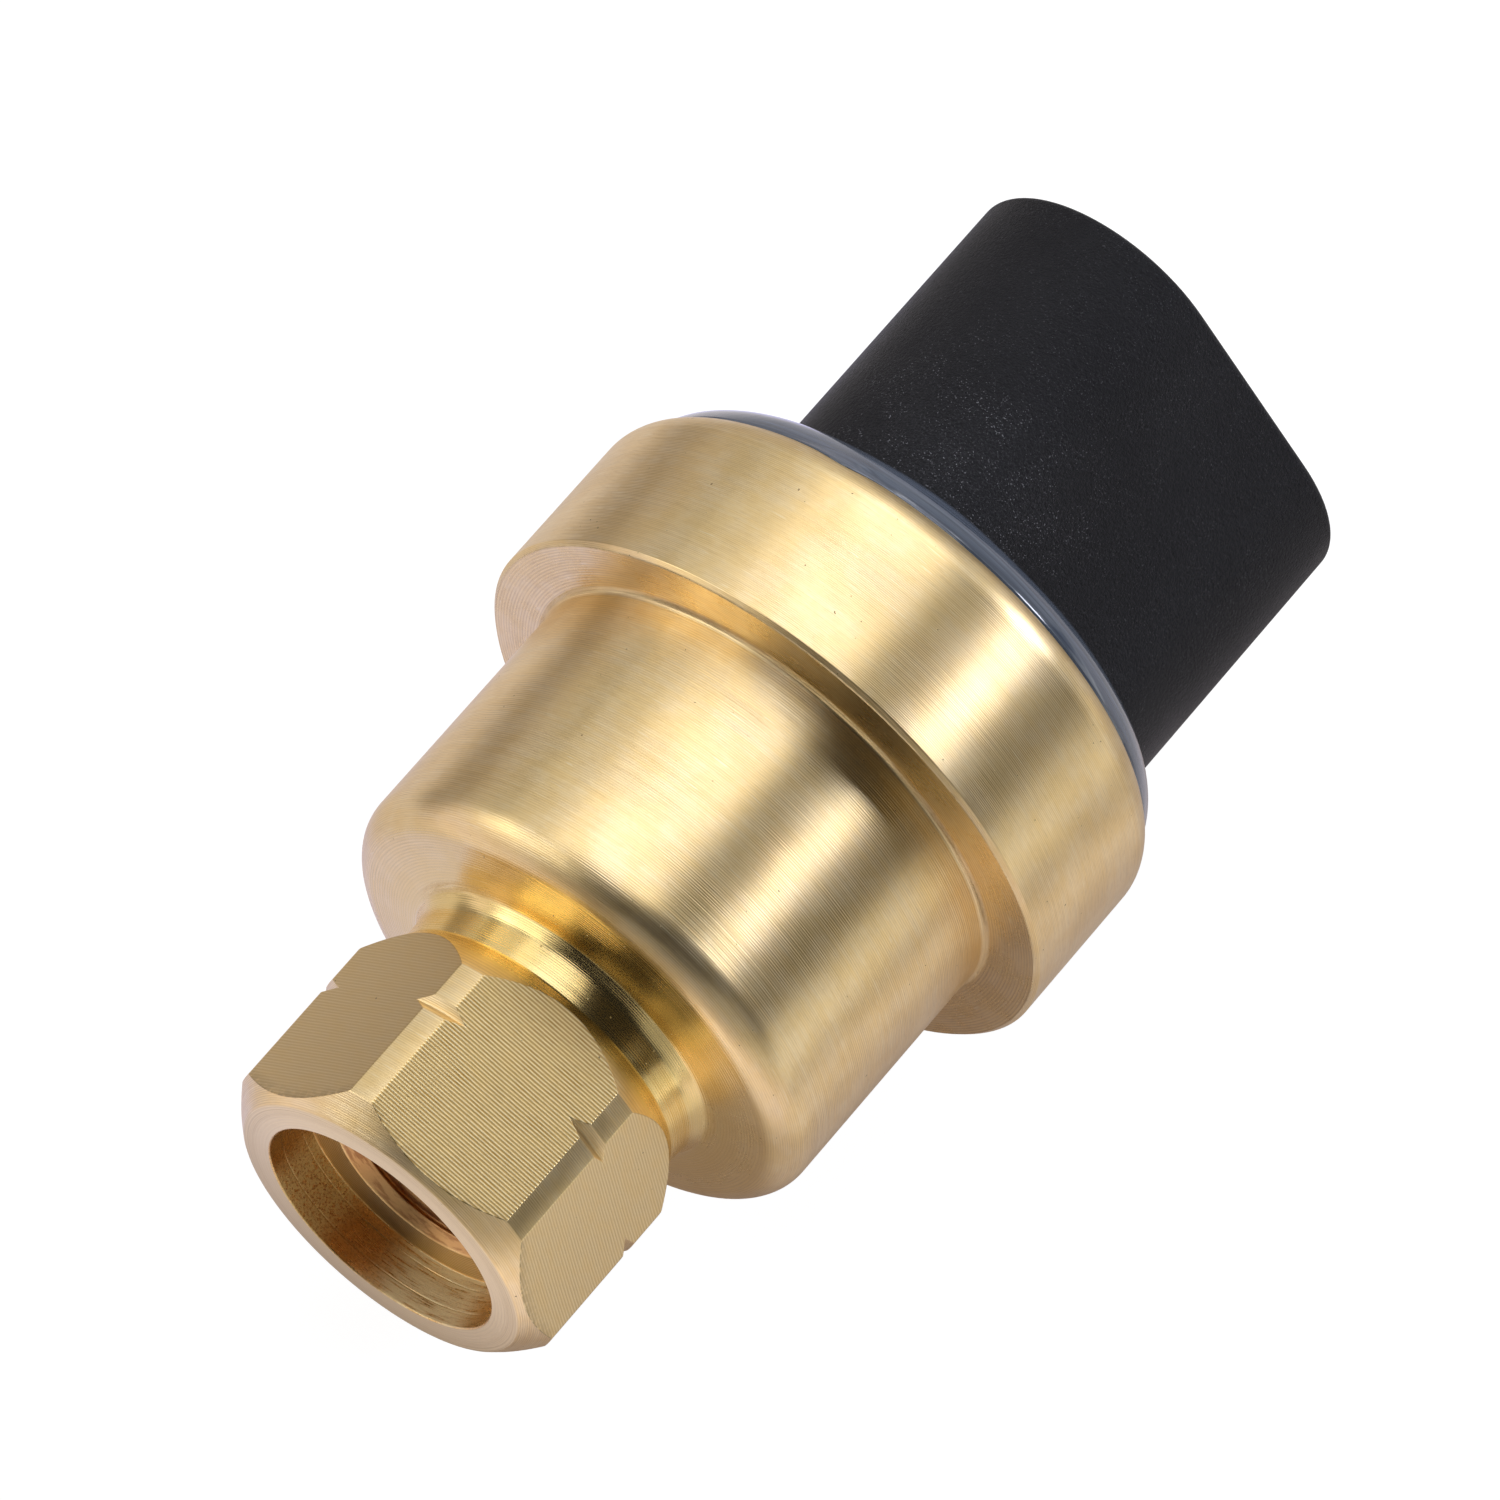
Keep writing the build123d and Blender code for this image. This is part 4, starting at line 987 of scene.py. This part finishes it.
wt.links.new(w_dim.outputs[0], w_max.inputs[0])
wt.links.new(w_low.outputs[0], w_max.inputs[1])
w_mul = wt.nodes.new("ShaderNodeVectorMath")
w_mul.operation = "SCALE"
wt.links.new(w_ramp.outputs[0], w_mul.inputs[0])
wt.links.new(w_max.outputs[0], w_mul.inputs["Scale"])
wt.links.new(w_mul.outputs[0], w_bg.inputs["Color"])
wt.links.new(w_bg.outputs[0], w_out.inputs[0])
ramp = w_ramp.color_ramp
ramp.elements[0].position = 0.03
ramp.elements[0].color = (1, 1, 1, 1)
ramp.elements[1].position = 0.30
ramp.elements[1].color = (0.02, 0.02, 0.02, 1)
low = ramp.elements.new(0.05)
low.color = (0.50, 0.50, 0.51, 1)
mid = ramp.elements.new(0.11)
mid.color = (0.24, 0.24, 0.245, 1)
w_bg.inputs["Strength"].default_value = 1.0

CENTRE = Vector((0, 0.030, 0))


def softbox(name, direction, distance, width, length, radiance, up=(0, 1, 0), colour=(1, 1, 1)):
    """Rectangular lamp aimed at the switch. Width runs across the switch's axis, length along it."""
    d = Vector(direction).normalized()
    li = bpy.data.lights.new(name, "AREA")
    li.shape = "RECTANGLE"
    li.size, li.size_y = width, length
    li.energy = radiance * math.pi * width * length
    li.color = colour
    ob = bpy.data.objects.new(name, li)
    scene.collection.objects.link(ob)
    z = d
    y = Vector(up) - z * Vector(up).dot(z)
    y.normalize()
    x = y.cross(z)
    ob.matrix_world = Matrix.Translation(CENTRE + d * distance) @ Matrix((x, y, z)).transposed().to_4x4()
    ob.visible_camera = False
    return ob


def across(phi, along=0.393):
    """Direction at an angle phi from +Z towards +X round the switch's axis, leaning along +Y."""
    k = math.sqrt(1 - along * along)
    p = math.radians(phi)
    return (k * math.sin(p), along, k * math.cos(p))


# angles run round the switch's axis from straight above; each lamp is long in the direction of the axis
softbox("side_left", across(-65.5), 0.75, 0.300, 0.95, 0.71)
softbox("key_low", across(-45), 0.75, 0.235, 0.95, 1.37)
softbox("key", across(-24), 0.75, 0.310, 0.95, 1.80, colour=(0.97, 0.99, 1.12))
softbox("key_edge", across(-9), 0.75, 0.079, 0.95, 1.18)
softbox("key_rear", across(-5, 0.50), 0.75, 0.085, 0.60, 1.35)
softbox("gap", across(13, 0.675), 0.75, 0.200, 0.26, 0.95)
softbox("strip", across(34, 0.68), 0.75, 0.132, 0.25, 16.3, colour=(0.95, 0.99, 1.15))
softbox("strip_side", across(51, 0.58), 0.75, 0.120, 0.50, 0.30)
softbox("side_right", across(79), 0.75, 0.290, 0.95, 0.64)
softbox("front_left", across(-66, -0.55), 0.75, 0.58, 0.50, 0.93)
softbox("low_left", across(-75, -0.34), 0.75, 0.18, 0.30, 1.75)
softbox("front_high", across(-57, -0.50), 0.75, 0.28, 0.36, 1.0)
softbox("front_right", across(66, -0.55), 0.75, 0.58, 0.50, 0.40)
softbox("front_low", (0.20, -0.92, 0.31), 0.75, 0.50, 0.13, 0.85, (0, 0, 1))
softbox("rear", across(0, 0.93), 0.75, 0.70, 0.35, 0.40)

cam_data = bpy.data.cameras.new("camera")
cam = bpy.data.objects.new("camera", cam_data)
scene.collection.objects.link(cam)
R = np.array([[0.75266, 0.60575, 0.25801], [0.6584, -0.6905, -0.29955], [-0.00329, 0.39533, -0.91853]])
u, _, vt = np.linalg.svd(R)
R = u @ vt
t = np.array([-17.96487, 23.27490, 547.30834]) * 0.99126 * MM
C = -R.T @ t
rot = Matrix((R[0], -R[1], -R[2])).transposed()
cam.matrix_world = Matrix.Translation(Vector(C)) @ rot.to_4x4()
cam_data.sensor_width = 36.0
cam_data.lens = 270.68
cam_data.clip_start, cam_data.clip_end = 0.01, 50.0
cam_data.dof.use_dof = False
scene.camera = cam

scene.view_settings.view_transform = "Standard"
scene.view_settings.look = "None"
scene.view_settings.exposure = 0.0
scene.view_settings.gamma = 1.0
